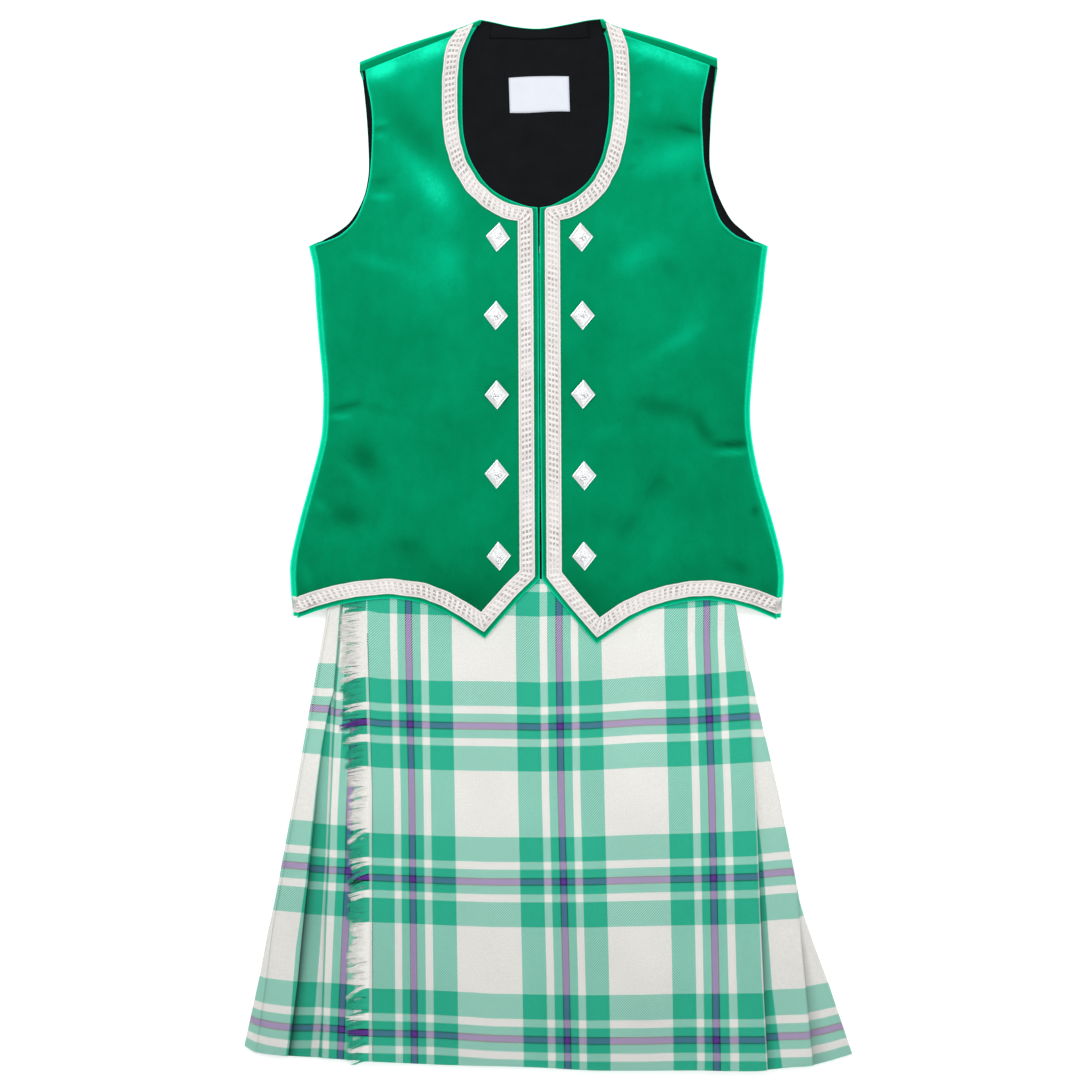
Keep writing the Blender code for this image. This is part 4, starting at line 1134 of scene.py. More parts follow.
def button_look(colours):
    """Bright plated face with grey in the hollows of its relief."""
    look = Look("Bright silver", Metallic=0.5)
    fleck = look.noise(look.place(), 520.0, detail=3.0, roughness=0.65)
    hollow = look.tone()
    look.feed("Base Color", look.mixed(hollow, colours.silver, colours.silver_hollow))
    look.feed("Roughness", 0.16 + fleck * 0.16 + hollow * 0.2)
    look.bump(fleck, 0.00015, 0.25)
    return look.material


def wire_look(colours):
    """Plated wire, slightly dull."""
    look = Look("Plated wire", Metallic=1.0)
    fleck = look.noise(look.place(), 700.0, roughness=0.6)
    look.feed("Base Color", look.mixed(fleck, colours.silver, colours.silver_hollow))
    look.feed("Roughness", 0.2 + fleck * 0.2)
    return look.material


def floor_look():
    """Pale matt surface."""
    look = Look("Pale floor", Roughness=0.9, Specular_IOR_Level=0.1, Emission_Color=(1.0, 1.0, 1.0, 1.0),
                Emission_Strength=0.35)
    grain = look.noise(look.place(), 60.0)
    look.feed("Base Color", look.mixed(grain, (0.93, 0.93, 0.93), (0.96, 0.96, 0.96)))
    return look.material


def finish_of(name, make, *values):
    """A material by its name, made the first time that it is asked for."""
    return bpy.data.materials.get(name) or make(*values)


# Properties

def colour_property(name, description, red, green, blue):
    return bpy.props.FloatVectorProperty(name=name, description=description, subtype="COLOR", size=3,
                                         min=0.0, max=1.0, default=display(red, green, blue))


class DressColours(bpy.types.PropertyGroup):
    # painted shade in a crease
    velvet_crease_shade: colour_property("Velvet, deep", "Pile in a crease", 0, 86, 52)
    velvet_low: colour_property("Velvet, low", "Pile that lies down", 0, 118, 75)
    velvet_mid: colour_property("Velvet", "Pile at rest", 0, 150, 101)
    # pile that is brushed up, and painted highlights on ridges
    velvet_high: colour_property("Velvet, high", "Pile that is brushed up", 0, 182, 131)
    # painted sheen on a turned edge
    velvet_edge_sheen: colour_property("Velvet edge", "Pile that opens on a turned edge", 20, 244, 190)
    lining: colour_property("Lining", "Black lining", 10, 12, 15)
    lining_worn: colour_property("Lining, light", "Lining where it catches the light", 17, 20, 23)
    label: colour_property("Label", "Label ribbon", 238, 242, 250)
    label_shade: colour_property("Label, shade", "Label ribbon between its ribs", 214, 220, 232)
    braid: colour_property("Braid", "Silver thread", 253, 251, 250)
    braid_shade: colour_property("Braid, shade", "Silver thread in its twist", 240, 236, 235)
    braid_tan: colour_property("Braid, tan", "Tarnished silver thread", 224, 212, 206)
    # the core's own colour, darkened as painted shade between the cords
    braid_ground: colour_property("Braid ground", "Core that shows between the cords", 150, 143, 138)
    white: colour_property("Tartan white", "White wool", 240, 239, 234)
    green: colour_property("Tartan green", "Green wool", 44, 180, 146)
    purple: colour_property("Tartan purple", "Purple wool", 97, 54, 148)
    guard: colour_property("Tartan black", "Black wool on both sides of the purple", 14, 16, 20)
    band: colour_property("Waistband", "Plain wool band", 232, 231, 226)
    stitch: colour_property("Edge stitches", "Dark thread beside the fringe", 22, 62, 58)
    silver: colour_property("Silver", "Buttons", 246, 247, 248)
    silver_hollow: colour_property("Silver, hollows", "Relief of the buttons", 104, 104, 110)


class DressSizes(bpy.types.PropertyGroup):
    fringe_length: bpy.props.FloatProperty(
        name="Fringe length", description="Mean length of the drawn threads", unit="LENGTH",
        default=0.0153, min=0.005, max=0.03)
    fringe_threads: bpy.props.IntProperty(
        name="Fringe threads", description="Threads drawn along the apron's edge",
        default=2100, min=50, max=3000)
    thread_count: bpy.props.IntProperty(
        name="Threads in a repeat", description="Warp or weft threads in one tartan repeat",
        default=THREADS_IN_SETT, min=40, max=480)
    braid_repeat: bpy.props.FloatProperty(
        name="Braid repeat", description="Distance between two crossings of the braid", unit="LENGTH",
        default=0.0045, min=0.002, max=0.01)
    cloth_wall: bpy.props.FloatProperty(
        name="Cloth thickness", description="Wall of the velvet's shell", unit="LENGTH",
        default=0.0009, min=0.0004, max=0.0015)
    camera_height: bpy.props.FloatProperty(
        name="Camera height", description="Camera above the surface", unit="LENGTH",
        default=2.4, min=1.0, max=6.0)
    lens: bpy.props.FloatProperty(
        name="Lens", description="Focal length in millimetres", default=100.0, min=35.0, max=200.0)


def shades():
    return bpy.context.scene.dress_colours


def sizes():
    return bpy.context.scene.dress_sizes


def velvet():
    return finish_of("Green velvet", velvet_look, shades())


def lining():
    return finish_of("Black lining", lining_look, shades())


def tartan():
    return finish_of("Tartan wool", tartan_look, shades(), sizes().thread_count)


# Waistcoat

def back_chain(inset):
    """The back's outline moved in by an inset, as its left side, its top edge and its right side."""
    sides = refined(BACK_ROWS, 4, corners=(0, UNDERARM_ROW, UNDERARM_ROW + 1, len(BACK_ROWS) - 1))
    left = [(row[1], row[0]) for row in sides]
    right = [(row[2], row[0]) for row in sides]
    left[0] = (left[0][0], left[0][1] - HEM_CORNER_DROP)
    right[0] = (right[0][0], right[0][1] - HEM_CORNER_DROP - RIGHT_CORNER_DROP)
    top = refined(TOP_EDGE, 6, corners=NECK_COLUMNS)
    chain = left + top + right[::-1]
    moved = [(x - nx * inset, y - ny * inset) for (x, y), (nx, ny) in zip(chain, normals_along(chain, False))]
    count = len(left)
    return moved[:count], moved[count:-count], moved[-count:][::-1]


def back_rows(inset, rise=0.0):
    """Rows of points over the waistcoat's back, from its hem to its top edge."""
    left, top, right = back_chain(inset)
    width = top[-1][0] - top[0][0]
    shares = [(x - top[0][0]) / width for x, y in top]
    turn_y = BACK_ROWS[HEM_TURN_ROW][0]
    turn_depth = turn_y - BACK_ROWS[0][0] + HEM_CORNER_DROP
    rows = []
    for start, end in zip(left, right):
        row = []
        for share in shares:
            x, y = between(start, end, share)
            if y < turn_y:
                inner, depth = min(x - start[0], end[0] - x), smooth((turn_y - y) / turn_depth)
                y += (1.0 - smooth(1.0 - inner / HEM_CORNER_WIDTH)) * HEM_CORNER_DROP * depth + rise * depth
                y += RIGHT_HEM_RISE * smooth((end[0] - x - HEM_CORNER_WIDTH) / RIGHT_HEM_RISE_WIDTH) * depth
            row.append((x, y))
        rows.append(row)
    last = rows[-1]
    for share in (1.0 / 3.0, 2.0 / 3.0, 1.0):
        rows.append([between(start, end, share) for start, end in zip(last, top)])
    return rows


def in_neck(x):
    """Whether a place on the back's top edge lies along the neck."""
    return TOP_EDGE[NECK_COLUMNS[0]][0] < x < TOP_EDGE[NECK_COLUMNS[1]][0]


def flap_reach(outer):
    """The back's outline, and its turned edge's reach over the front, height and tones of painted sheen at
    each point.
    """
    left, top, right = outer
    chain = left + top + right[::-1]
    tips = {}
    for side, row in ((-1, LEFT_FRONT_ROWS[0]), (1, RIGHT_FRONT_ROWS[0])):
        tips[side] = (row[0], row[1], (row[3] - row[1]) / (row[2] - row[0]))
    reach, kinds = [], []
    for index, ((x, y), (nx, ny)) in enumerate(zip(chain, normals_along(chain, False))):
        on_top = len(left) <= index < len(left) + len(top)
        if y <= UNDERARM_Y and not on_top:
            kinds.append("side")
            reach.append((math.copysign(SIDE_FLAP + 0.4, -x), 0.0, FLAP_TOP, *SIDE_TONES))
        elif on_top and not in_neck(x):
            kinds.append("shoulder")
            tip_x, tip_y, slope = tips[-1 if x < 0 else 1]
            depth = max(SHOULDER_FLAP, y - (tip_y + slope * (x - tip_x) + 0.2))
            reach.append((0.0, -depth, FLAP_TOP, *SHOULDER_TONES))
        else:
            kinds.append("rim")
            reach.append((-nx * RIM_LIP, -ny * RIM_LIP, RIM_TOP - 0.1, *LIP_TONES))
    soft = []
    for index, kind in enumerate(kinds):
        near = [reach[k] for k in (index - 1, index, index + 1) if 0 <= k < len(kinds) and kinds[k] == kind]
        soft.append(tuple(sum(item[k] for item in near) / len(near) for k in range(6)))
    return chain, soft


def build_waistcoat_back():
    """Velvet back that lies on the surface and is turned up and over all round."""
    rows = back_rows(BACK_TURN)
    columns = len(rows[0])
    points, tones = [], []
    for i, row in enumerate(rows):
        for j, (x, y) in enumerate(row):
            inner = min(i, j, columns - 1 - j, len(rows) - 1 - i)
            points.append((x, y, crease_height(x, y, BACK_CREASES) * min(1.0, inner / BACK_CREASE_FADE)))
            tones.append(BACK_TONE + crease_height(x, y, BACK_CREASES, 1))
    faces = grid_faces(len(rows), columns, flip=True)

    side = len(rows) - 3
    edge = [i * columns for i in range(side)]
    edge += [(len(rows) - 1) * columns + j for j in range(columns)]
    edge += [i * columns + columns - 1 for i in range(side - 1, -1, -1)]
    chain, reach = flap_reach(back_chain(0.0))
    normals = normals_along(chain, False)
    rings = [edge]

    def add_ring(places, ring_tones):
        start = len(points)
        points.extend(places)
        tones.extend(ring_tones)
        rings.append(list(range(start, start + len(places))))

    low = RIM_TOP - RIM_ROUND
    # The rings' tones run from the back's own tone to the painted sheen of its turned edge.
    for depth, z, mask in (*BACK_TURN_PROFILE, (0.0, low, 1.0)):
        add_ring([(x - nx * depth, y - ny * depth, z) for (x, y), (nx, ny) in zip(chain, normals)],
                 [BACK_TONE + mask * (item[3] - BACK_TONE) for item in reach])
    for share, rise, first, second in FLAP_PROFILE:
        add_ring([(x + item[0] * share, y + item[1] * share, low + (item[2] - low) * rise)
                  for (x, y), item in zip(chain, reach)],
                 [(item[3 + first] + item[3 + second]) / 2.0 for item in reach])
    for lower, upper in zip(rings, rings[1:]):
        faces += ring_faces(lower, upper)
    for column in (0, columns - 1):
        run = [row * columns + column for row in range(side - 1, len(rows))]
        faces.append(tuple(run[::-1] if column == 0 else run))
    mesh = build_mesh("velvet_back", points, faces, tone=tones)
    item = add_piece(mesh, velvet(), ["waistcoat_back"])
    add_wall(item, sizes().cloth_wall / MM)


def build_lining():
    """Black lining of the back, inside its turned edge."""
    rows, wide, widest = (back_rows(inset, LINING_HEM_RISE) for inset in (LINING_INSET, 0.75, 0.1))
    columns = len(rows[0])
    points = []
    for i, row in enumerate(rows):
        for j, (x, y) in enumerate(row):
            side = j in (0, columns - 1) and y > UNDERARM_Y + 2.0
            neck = i == len(rows) - 1 and in_neck(x)
            rolled = LINING_ROLL if side or neck else 0.0
            if neck:
                x, y = wide[i][j]
            elif side:
                x, y = (wide if x > 0.0 and y > 340.0 else widest)[i][j]
            points.append((x, y, LINING_TOP + rolled + crease_height(x, y, LINING_CREASES)))
    item = add_cloth("lining_back", points, columns, lining(), ["back_lining"], LINING_WALL)


def build_neck_facing():
    """Black strip along the back neck, on the lining."""
    path = refined(TOP_EDGE[NECK_COLUMNS[0] + 1:NECK_COLUMNS[1]], 8)
    lower_y = TOP_EDGE[6][1] - FACING_DEPTH
    points = []
    for x, y in path:
        low = lower_y + 0.35 * math.sin(x * 0.21) + 0.0004 * x * x
        for share, rise in FACING_PROFILE:
            place = (x * (1.06 - 0.06 * share), low + share * (y - LINING_INSET - low))
            z = LINING_TOP + crease_height(*place, LINING_CREASES) + SEAM_GAP * 0.5 + rise
            points.append((*place, z))
    item = add_cloth("neck_band", points, len(FACING_PROFILE), lining(), ["neck_facing"],
                     FACING_WALL, flip=True)


def build_label():
    """Bare ribbon, sewn on a little unevenly."""
    half_x, half_y = LABEL_SIZE[0] / 2.0, LABEL_SIZE[1] / 2.0
    count_x, count_y = 25, 15
    points = []
    for i in range(count_y):
        for j in range(count_x):
            a, b = 2.0 * j / (count_x - 1) - 1.0, 2.0 * i / (count_y - 1) - 1.0
            x = LABEL_CENTRE[0] + a * half_x + LABEL_LEAN[0] * b
            y = LABEL_CENTRE[1] + b * (half_y - LABEL_TUCK) + LABEL_LEAN[1] * a
            y += LABEL_HEAD_SWELL * (1.0 - a * a) * max(0.0, b)
            y += LABEL_FOOT_WAVE * math.sin(3.2 * a) * max(0.0, -b)
            edge = max(abs(a), abs(b)) ** 12
            lift = 0.75 + 0.22 * math.sin(a * 4.2 + 0.6) * math.cos(b * 2.2) - 0.45 * edge
            points.append((x, y, LINING_TOP + SEAM_GAP + lift))
    ribbon = finish_of("Label ribbon", label_look, shades())
    item = add_cloth("label_ribbon", points, count_x, ribbon, ["label"], LABEL_WALL)


def kilt_stack_top(x, y):
    """Top of the kilt's cloth above its own base, under the waistcoat's fronts."""
    under_fold = kilt_value(y, 4)
    side_pleat = level(6) * (1.0 - smooth((x - under_fold - 10.0) / 30.0))
    return max(apron_height(x, under_fold, kilt_value(y, 6)), side_pleat)


def back_side(y, direction):
    return read_curve(BACK_ROWS[:UNDERARM_ROW + 1], y, 1 if direction < 0 else 2)


def front_height(x, y, share):
    """Underside of a front at a point; share runs from its outer to its inner edge."""
    kilt_y = min(y, KILT_ROWS[0][0])
    over = kilt_stack_top(x, kilt_y) + TARTAN / 2.0 + FRONT_OVER_KILT
    raised = kilt_base(y + 4.0) + over - FRONT_BASE
    fade = smooth((FRONT_RISE_START_Y - y) / FRONT_RISE_LENGTH)
    left_edge, right_edge = kilt_value(kilt_y, 1) - 1.5, kilt_value(kilt_y, 2) + 1.5
    left_seam, right_seam = back_side(y, -1.0) + SIDE_FLAP, back_side(y, 1.0) - SIDE_FLAP
    mask = 1.0
    if x < left_edge:
        mask = smooth((x - left_seam) / (left_edge - left_seam))
    if x > right_edge:
        mask = smooth((right_seam - x) / (right_seam - right_edge))
    fullness = CHEST_FULLNESS * 4.0 * share * (1.0 - share) * (1.0 - fade)
    return FRONT_BASE + raised * fade * mask + fullness


def front_rows(table, hem, direction):
    """Rows of one front from the shoulder seam to the hem, each point with its share across."""
    outer_hem, inner_hem = hem[0], hem[-1]
    shares = [(x - outer_hem[0]) / (inner_hem[0] - outer_hem[0]) for x, y in hem]
    rows = [[(*between(row[:2], row[2:], share), share) for share in shares] for row in table]
    inner_top, seam_top = table[-1][3], table[-1][1]
    for y in SIDE_SEAM_YS:
        outer_x = back_side(y, direction) - direction * (SIDE_FLAP + SIDE_SEAM_GAP)
        progress = (seam_top - y) / (seam_top - outer_hem[1])
        inner_y = inner_top + progress * (inner_hem[1] - inner_top)
        centre_x = interpolate(CENTRE_GAP, inner_y, 2) + direction * interpolate(CENTRE_GAP, inner_y, 1)
        pull = HEM_PULL.get(y, 0.0)
        row = []
        for share, (hem_x, hem_y) in zip(shares, hem):
            x, straight = between((outer_x, y), (centre_x, inner_y), share)
            level_hem = outer_hem[1] + share * (inner_hem[1] - outer_hem[1])
            row.append((x + pull * (hem_x - x) * (share > 0.0), straight + pull * (hem_y - level_hem), share))
        rows.append(row)
    rows.append([(x, y, share) for (x, y), share in zip(hem, shares)])
    return rows


def border_of(rows, columns):
    """Places of a grid's border points, in order round it."""
    top = [(0, j) for j in range(columns)]
    inner = [(i, columns - 1) for i in range(1, rows)]
    low = [(rows - 1, j) for j in range(columns - 2, -1, -1)]
    outer = [(i, 0) for i in range(rows - 2, 0, -1)]
    return top + inner + low + outer


def front_tone(x, y):
    return interpolate(FRONT_TONES, y, 1) + crease_height(x, y, FRONT_CREASES, 1)


def edge_tone(x, y, share):
    """Painted sheen on a front's turned edge: softest along the neck, brightest at the armhole and the
    shoulder.
    """
    if y < -20.0 or abs(x) < 6.0:
        return 0.9
    return 0.86 if share > 0.5 else 0.93


def build_front(name, node, table, hem, direction):
    """One velvet front, whose border rolls down to the cloth below it."""
    rows = front_rows(table, hem, direction)
    border = border_of(len(rows), len(rows[0]))
    loop = [rows[i][j][:2] for i, j in border]
    for (i, j), (nx, ny) in zip(border, normals_along(loop, True)):
        x, y, share = rows[i][j]
        rows[i][j] = (x + direction * nx * FRONT_TURN, y + direction * ny * FRONT_TURN, share)
    wide = [refined(row, 8, corners=(HEM_POINT,)) for row in rows]
    tall = [refined(column, 6, corners=(len(table) - 1,)) for column in zip(*wide)]
    fine = [list(row) for row in zip(*tall)]
    columns = len(fine[0])
    points, tones, shares = [], [], []
    for i, row in enumerate(fine):
        lit = HEM_GLOW.get(len(fine) - 1 - i, 0.0)
        for x, y, share in row:
            z = front_height(x, y, share) + VELVET_FRONT + crease_height(x, y, FRONT_CREASES)
            points.append((x, y, z))
            tones.append(front_tone(x, y) + lit)
            shares.append(share)
    faces = grid_faces(len(fine), columns, flip=direction < 0)
    places = border_of(len(fine), columns)
    border = [i * columns + j for i, j in places]
    normals = normals_along([points[index][:2] for index in border], True)
    edges = [edge_tone(*points[index][:2], shares[index]) for index in border]
    reaches = [SEAM_REACH if j == 0 or i == 0 else 0.0 for i, j in places]
    rings = [border]
    # The rolled border takes the painted sheen of its edge tone.
    for out, drop, mask in FRONT_TURN_PROFILE:
        start = len(points)
        for index, (nx, ny), edge, extra in zip(border, normals, edges, reaches):
            x, y, z = points[index]
            reach = direction * (out + extra * min(1.0, out))
            points.append((x - nx * reach, y - ny * reach, z - drop))
            tones.append(tones[index] + mask * (edge - tones[index]))
        rings.append(list(range(start, start + len(border))))
    for inner, outer in zip(rings, rings[1:]):
        faces += ring_faces(inner, outer, closed=True, flip=direction < 0)
    item = add_piece(build_mesh(name, points, faces, tone=tones), velvet(), [node])
    add_wall(item, sizes().cloth_wall / MM)


class BraidTrack:
    """Places on a braid: a distance along it and a distance from its edge beside the neck."""

    def __init__(self, neck, hem, direction, height):
        path = self.kept_path(neck, hem)
        corners = [path.index(point) for point in (neck[-1], hem[-1], min(hem, key=lambda point: point[1]))]
        normals = normals_along(path, False)
        self.height = height
        self.edges = []
        for distance in (BRAID_NEAR, BRAID_NEAR + BRAID_SPAN):
            edge = [(x + nx * direction * distance, y + ny * direction * distance)
                    for (x, y), (nx, ny) in zip(path, normals)]
            edge[0] = (path[0][0] + direction * distance, path[0][1] - SHOULDER_SLOPE * distance)
            edge[-1] = (path[-1][0], path[-1][1] + distance + 0.3)
            edge.append((path[-1][0] + direction * BRAID_OVER_SIDE, path[-1][1] + distance + 1.5))
            self.edges.append(refined(edge, 5, corners))
        self.along = [0.0]
        middles = [between(near, far, 0.5) for near, far in zip(*self.edges)]
        for start, end in zip(middles, middles[1:]):
            self.along.append(self.along[-1] + math.dist(start, end))
        self.length = self.along[-1]

    @staticmethod
    def kept_path(neck, hem):
        """The velvet edge with points about one step apart, and none close beside a corner."""
        path = neck + hem[::-1]
        corners = [neck[0], neck[-1], hem[-1], min(hem, key=lambda point: point[1])]
        points = [path[0]]
        for start, end in zip(path, path[1:]):
            pieces = max(1, round(math.dist(start, end) / BRAID_STEP))
            points += [between(start, end, piece / pieces) for piece in range(1, pieces)] + [end]
        kept = []
        for point in points:
            near = min(math.dist(point, corner) for corner in corners)
            if near == 0.0 or near > BRAID_CORNER_GAP:
                kept.append(point)
        return kept

    def at(self, distance, side, lift):
        """Point at a distance along, a side distance from the near edge, and a lift off the velvet."""
        distance = max(0.0, min(self.length, distance))
        low = min(bisect.bisect_right(self.along, distance), len(self.along) - 1) - 1
        span = self.along[low + 1] - self.along[low]
        share = (distance - self.along[low]) / span if span else 0.0
        near, far = (between(edge[low], edge[low + 1], share) for edge in self.edges)
        x, y = between(near, far, side / BRAID_SPAN)
        seats = BRIDGE_SEATS if distance > self.length - BRAID_BRIDGE else (0.0,)
        low_x, high_x = BRAID_SEAT_X
        return (x, y, max(self.height(max(low_x, min(high_x, x + shift)), y) for shift in seats) + lift)


def build_braid(side, track):
    """Plaited braid: cords along each edge, pairs of threads that cross between them, and two waved ones."""
    repeat = sizes().braid_repeat / MM
    steps = int(track.length / BRAID_ROW_STEP)
    rows = [track.length * i / steps for i in range(steps + 1)]
    across = [0.1 + column * (BRAID_SPAN - 0.2) / (GROUND_COLUMNS - 1.0) for column in range(GROUND_COLUMNS)]
    points = [track.at(along, place, GROUND_LIFT) for along in rows for place in across]
    pale = finish_of("Braid ground", braid_ground_look, shades())
    ground = add_cloth(f"braid_ground_{side}", points, GROUND_COLUMNS, pale, (), GROUND_WALL,
                       flip=side == "left")

    tubes = Tubes(6)
    for inset, half, lift, tan in BRAID_CORDS:
        widths = [half * (1.0 + 0.05 * math.sin(i * 2.1)) for i in range(steps + 1)]
        for offset in (inset, BRAID_SPAN - inset):
            path = [track.at(along, offset, lift) for along in rows]
            tubes.add(path, widths, [half * 0.75] * len(path), uv=(tan, 0.0))
    low, high = CROSSING_INSET, BRAID_SPAN - CROSSING_INSET
    run = repeat * CROSSING_RUN
    count = int((track.length - 3.0) / repeat)
    random.seed(11 if side == "left" else 12)
    for index in range(count):
        start = CROSSING_START + index * repeat + random.uniform(-0.22, 0.22)
        for shift in CROSSING_PAIR:
            path = []
            half = random.uniform(*CROSSING_HALF)
            for piece in range(CROSSING_POINTS):
                share = piece / (CROSSING_POINTS - 1.0)
                along = start + shift + run * (share + 0.1 * math.sin(2.0 * math.pi * share))
                lift = CROSSING_LIFT + 0.35 * math.sin(math.pi * share)
                path.append(track.at(along, low + share * (high - low), lift))
            tubes.add(path, [half] * len(path), [0.42] * len(path))
    for offset in (low + WAVED_INSET, high - WAVED_INSET):
        lean = run * (offset - low) / (high - low)
        path = []
        for piece in range(count * WAVED_POINTS + 1):
            along = CROSSING_START + piece * repeat / WAVED_POINTS
            wave = math.cos(2.0 * math.pi * (along - CROSSING_START - lean) / repeat)
            path.append(track.at(along, offset, CROSSING_LIFT - 0.22 * wave))
        tubes.add(path, [0.5] * len(path), [0.36] * len(path))
    silver = finish_of("Silver braid", braid_look, shades())
    item = add_piece(tubes.mesh(f"braid_cords_{side}"), silver, [f"braid_{side}"])
    ground.parent = item


def build_button(name, node, place, height):
    """Diamond button with a bright bevelled rim and a low face in relief."""
    _, x, y, turn, dark_x, dark_y = place
    half_x, half_y = BUTTON_WIDTH / 2.0, BUTTON_HEIGHT / 2.0
    sine, cosine = math.sin(math.radians(turn)), math.cos(math.radians(turn))
    spots = [2.0 * k / (BUTTON_GRID - 1) - 1.0 for k in range(BUTTON_GRID)]
    points, hollow = [], []

    def add_point(a, b, z, mask):
        px, py = (a - b) / 2.0 * half_x, (a + b) / 2.0 * half_y
        points.append((x + px * cosine - py * sine, y + px * sine + py * cosine, z))
        hollow.append(mask)

    reach = [(0.0, 0.0), (half_x, 0.0), (-half_x, 0.0), (0.0, half_y), (0.0, -half_y)]
    seat = max(height(x + dx, y + dy) for dx, dy in reach) + SEAM_GAP
    for a in spots:
        for b in spots:
            outer = max(abs(a), abs(b))
            inside = 1.0 - smooth((outer - BUTTON_FACE) / 0.1)
            bevel = BUTTON_BEVEL * smooth((1.0 - outer) / (1.0 - BUTTON_FACE))
            across, up = (a - b) / 2.0, (a + b) / 2.0
            near = math.exp(-((across - dark_x) ** 2 + (up - dark_y) ** 2) / 0.06)
            stem = math.cos(17.0 * across + 5.0 * math.sin(9.0 * up))
            leaves = math.cos(23.0 * up + 11.0 * abs(across) + 2.0 * math.sin(13.0 * across))
            relief = stem * leaves * inside
            z = BUTTON_BASE + bevel + BUTTON_RELIEF * relief * (0.35 + 0.65 * near)
            add_point(a, b, seat + z, min(1.0, max(0.0, -relief - 0.1) * (0.4 + 3.2 * near)))
    faces = grid_faces(BUTTON_GRID, BUTTON_GRID, flip=True)
    border = border_of(BUTTON_GRID, BUTTON_GRID)
    ring = [i * BUTTON_GRID + j for i, j in border]
    for grow, z in ((1.0, 0.25), (0.96, 0.0)):
        start = len(points)
        for i, j in border:
            add_point(spots[i] * grow, spots[j] * grow, seat + z, 0.0)
        lower = list(range(start, start + len(border)))
        faces += ring_faces(ring, lower, closed=True)
        ring = lower
    faces.append(tuple(ring))
    silver = finish_of("Bright silver", button_look, shades())
    add_piece(build_mesh(name, points, faces, tone=hollow), silver, [node])


# Kilt

def hairpin(fold, start_z, end_z, direction):
    """Points round a fold whose outer surface is at fold, bulging to one side."""
    radius = abs(end_z - start_z) / 2.0
    centre_x, centre_z = fold - direction * (TARTAN / 2.0 + radius), (start_z + end_z) / 2.0
    points = []
    for step in range(FOLD_STEPS + 1):
        angle = math.pi * (step / FOLD_STEPS - 0.5) * (1.0 if end_z > start_z else -1.0)
        x = centre_x + direction * radius * math.cos(angle)
        points.append((x, centre_z + radius * math.sin(angle), None))
    return points


def wrapped_edge(x, reach, start_z, end_z):
    """Points round a side edge from one layer to another, bulging by a reach."""
    middle, half = (start_z + end_z) / 2.0, (start_z - end_z) / 2.0
    points = []
    for step in range(1, WRAP_STEPS):
        angle = math.pi * step / WRAP_STEPS
        points.append((x + reach * math.sin(angle), middle + half * math.cos(angle), None))
    return points


def face_run(start, end, height, cloth, count):
    """Points along a cloth face; height is a number or a function of x."""
    run = []
    for index in range(count + 1):
        x = start + (end - start) * index / count
        run.append((x, height(x) if callable(height) else height, cloth))
    return run


def right_underlay_end(right, right_fold):
    """Where the two layers that turn in at the right side end."""
    return min(right_fold, right - 4.0) - RIGHT_UNDERLAY


def pleats_controls(row):
    """Back of the kilt: knife pleats between a wrapped left edge and a wrapped right edge."""
    y, left, right, _, _, _, _, right_fold, _ = row
    sliver = interpolate(SLIVER_ROWS, y, 1)
    half = TARTAN / 2.0
    start, end = left + half + ROUND_IN, right - half - ROUND_IN
    exposure = (end - start) / BACK_PLEATS
    depth = exposure - PLEAT_SLIT
    share = exposure / SETT_ACROSS
    edge = 0.40  # the tartan's place at the left edge, in repeats
    first = edge + level(6) / SETT_ACROSS
    face = BACK_PLEATS + 0.36
    last = face - 0.05
    points = [(start + sliver, level(6), ("side", edge)),
              (start + sliver * 0.5, level(6), ("side", edge + sliver * 0.5 / SETT_ACROSS))]
    points += wrapped_edge(start, -ROUND_IN, level(6), level(0))
    points.append((start, level(0), ("side", first)))
    for index in range(1, BACK_PLEATS):
        fold = start + index * exposure
        shown_end = first + (index - 1) + share
        next_start = first + index if index < BACK_PLEATS - 1 else last - share
        # At a fold the cloth climbs two layers, runs on over the next face and folds back twice
        points += [(fold - 2.2, level(0), ("side", shown_end)), (fold - 1.5, level(0) + 0.3, None),
                   (fold - 1.0, level(1), None), (fold - 0.5, level(2) - 0.3, None),
                   (fold + 0.2, level(2), None)]
        points += hairpin(fold + depth + half, level(2), level(1), 1.0)
        points += hairpin(fold, level(1), level(0), -1.0)
        points.append((fold + half + 1.2, level(0), ("side", next_start)))
    points.append((end, level(0), ("side", last)))
    points += wrapped_edge(end, ROUND_IN, level(0), level(3))
    for x in (end, (end + right_fold) / 2.0, right_fold, right_underlay_end(right, right_fold)):
        points.append((x, level(3), ("right side", face + (end - x) / SETT_ACROSS)))
    return points


def under_apron_controls(row):
    """Left side pleat, the valley beside it, and the under apron with its folded edge."""
    _, left, _, pleat_fold, under_fold, _, apron_fold, _, _ = row
    inner = pleat_fold - UNDERLAY_SHARE * (pleat_fold - left)
    turn = under_fold + UNDER_APRON_UNDERLAY
    end = apron_fold - UNDER_APRON_SHORT
    points = face_run(left + 1.9, pleat_fold - FOLD_ROUND, level(5), ("side", 0.0), 6)
    points += hairpin(pleat_fold, level(5), level(4), 1.0)
    points += hairpin(inner, level(4), level(3), -1.0)
    points += face_run(pleat_fold - 6.0, pleat_fold + 8.0, level(3), ("valley", 1.0), 8)
    points += face_run(max(pleat_fold + 10.0, under_fold), under_fold + 12.0, level(3), ("valley", 1.0), 3)
    points += hairpin(turn + TARTAN / 2.0, level(3), level(4), 1.0)
    points += hairpin(under_fold, level(4), level(5), -1.0)
    points += face_run(under_fold + 1.8, turn + 2.0, level(5), ("under", 2.0), 7)
    points += face_run(turn + 6.0, end, lambda x: under_apron_height(x, under_fold), ("under", 2.0), 14)
    return points


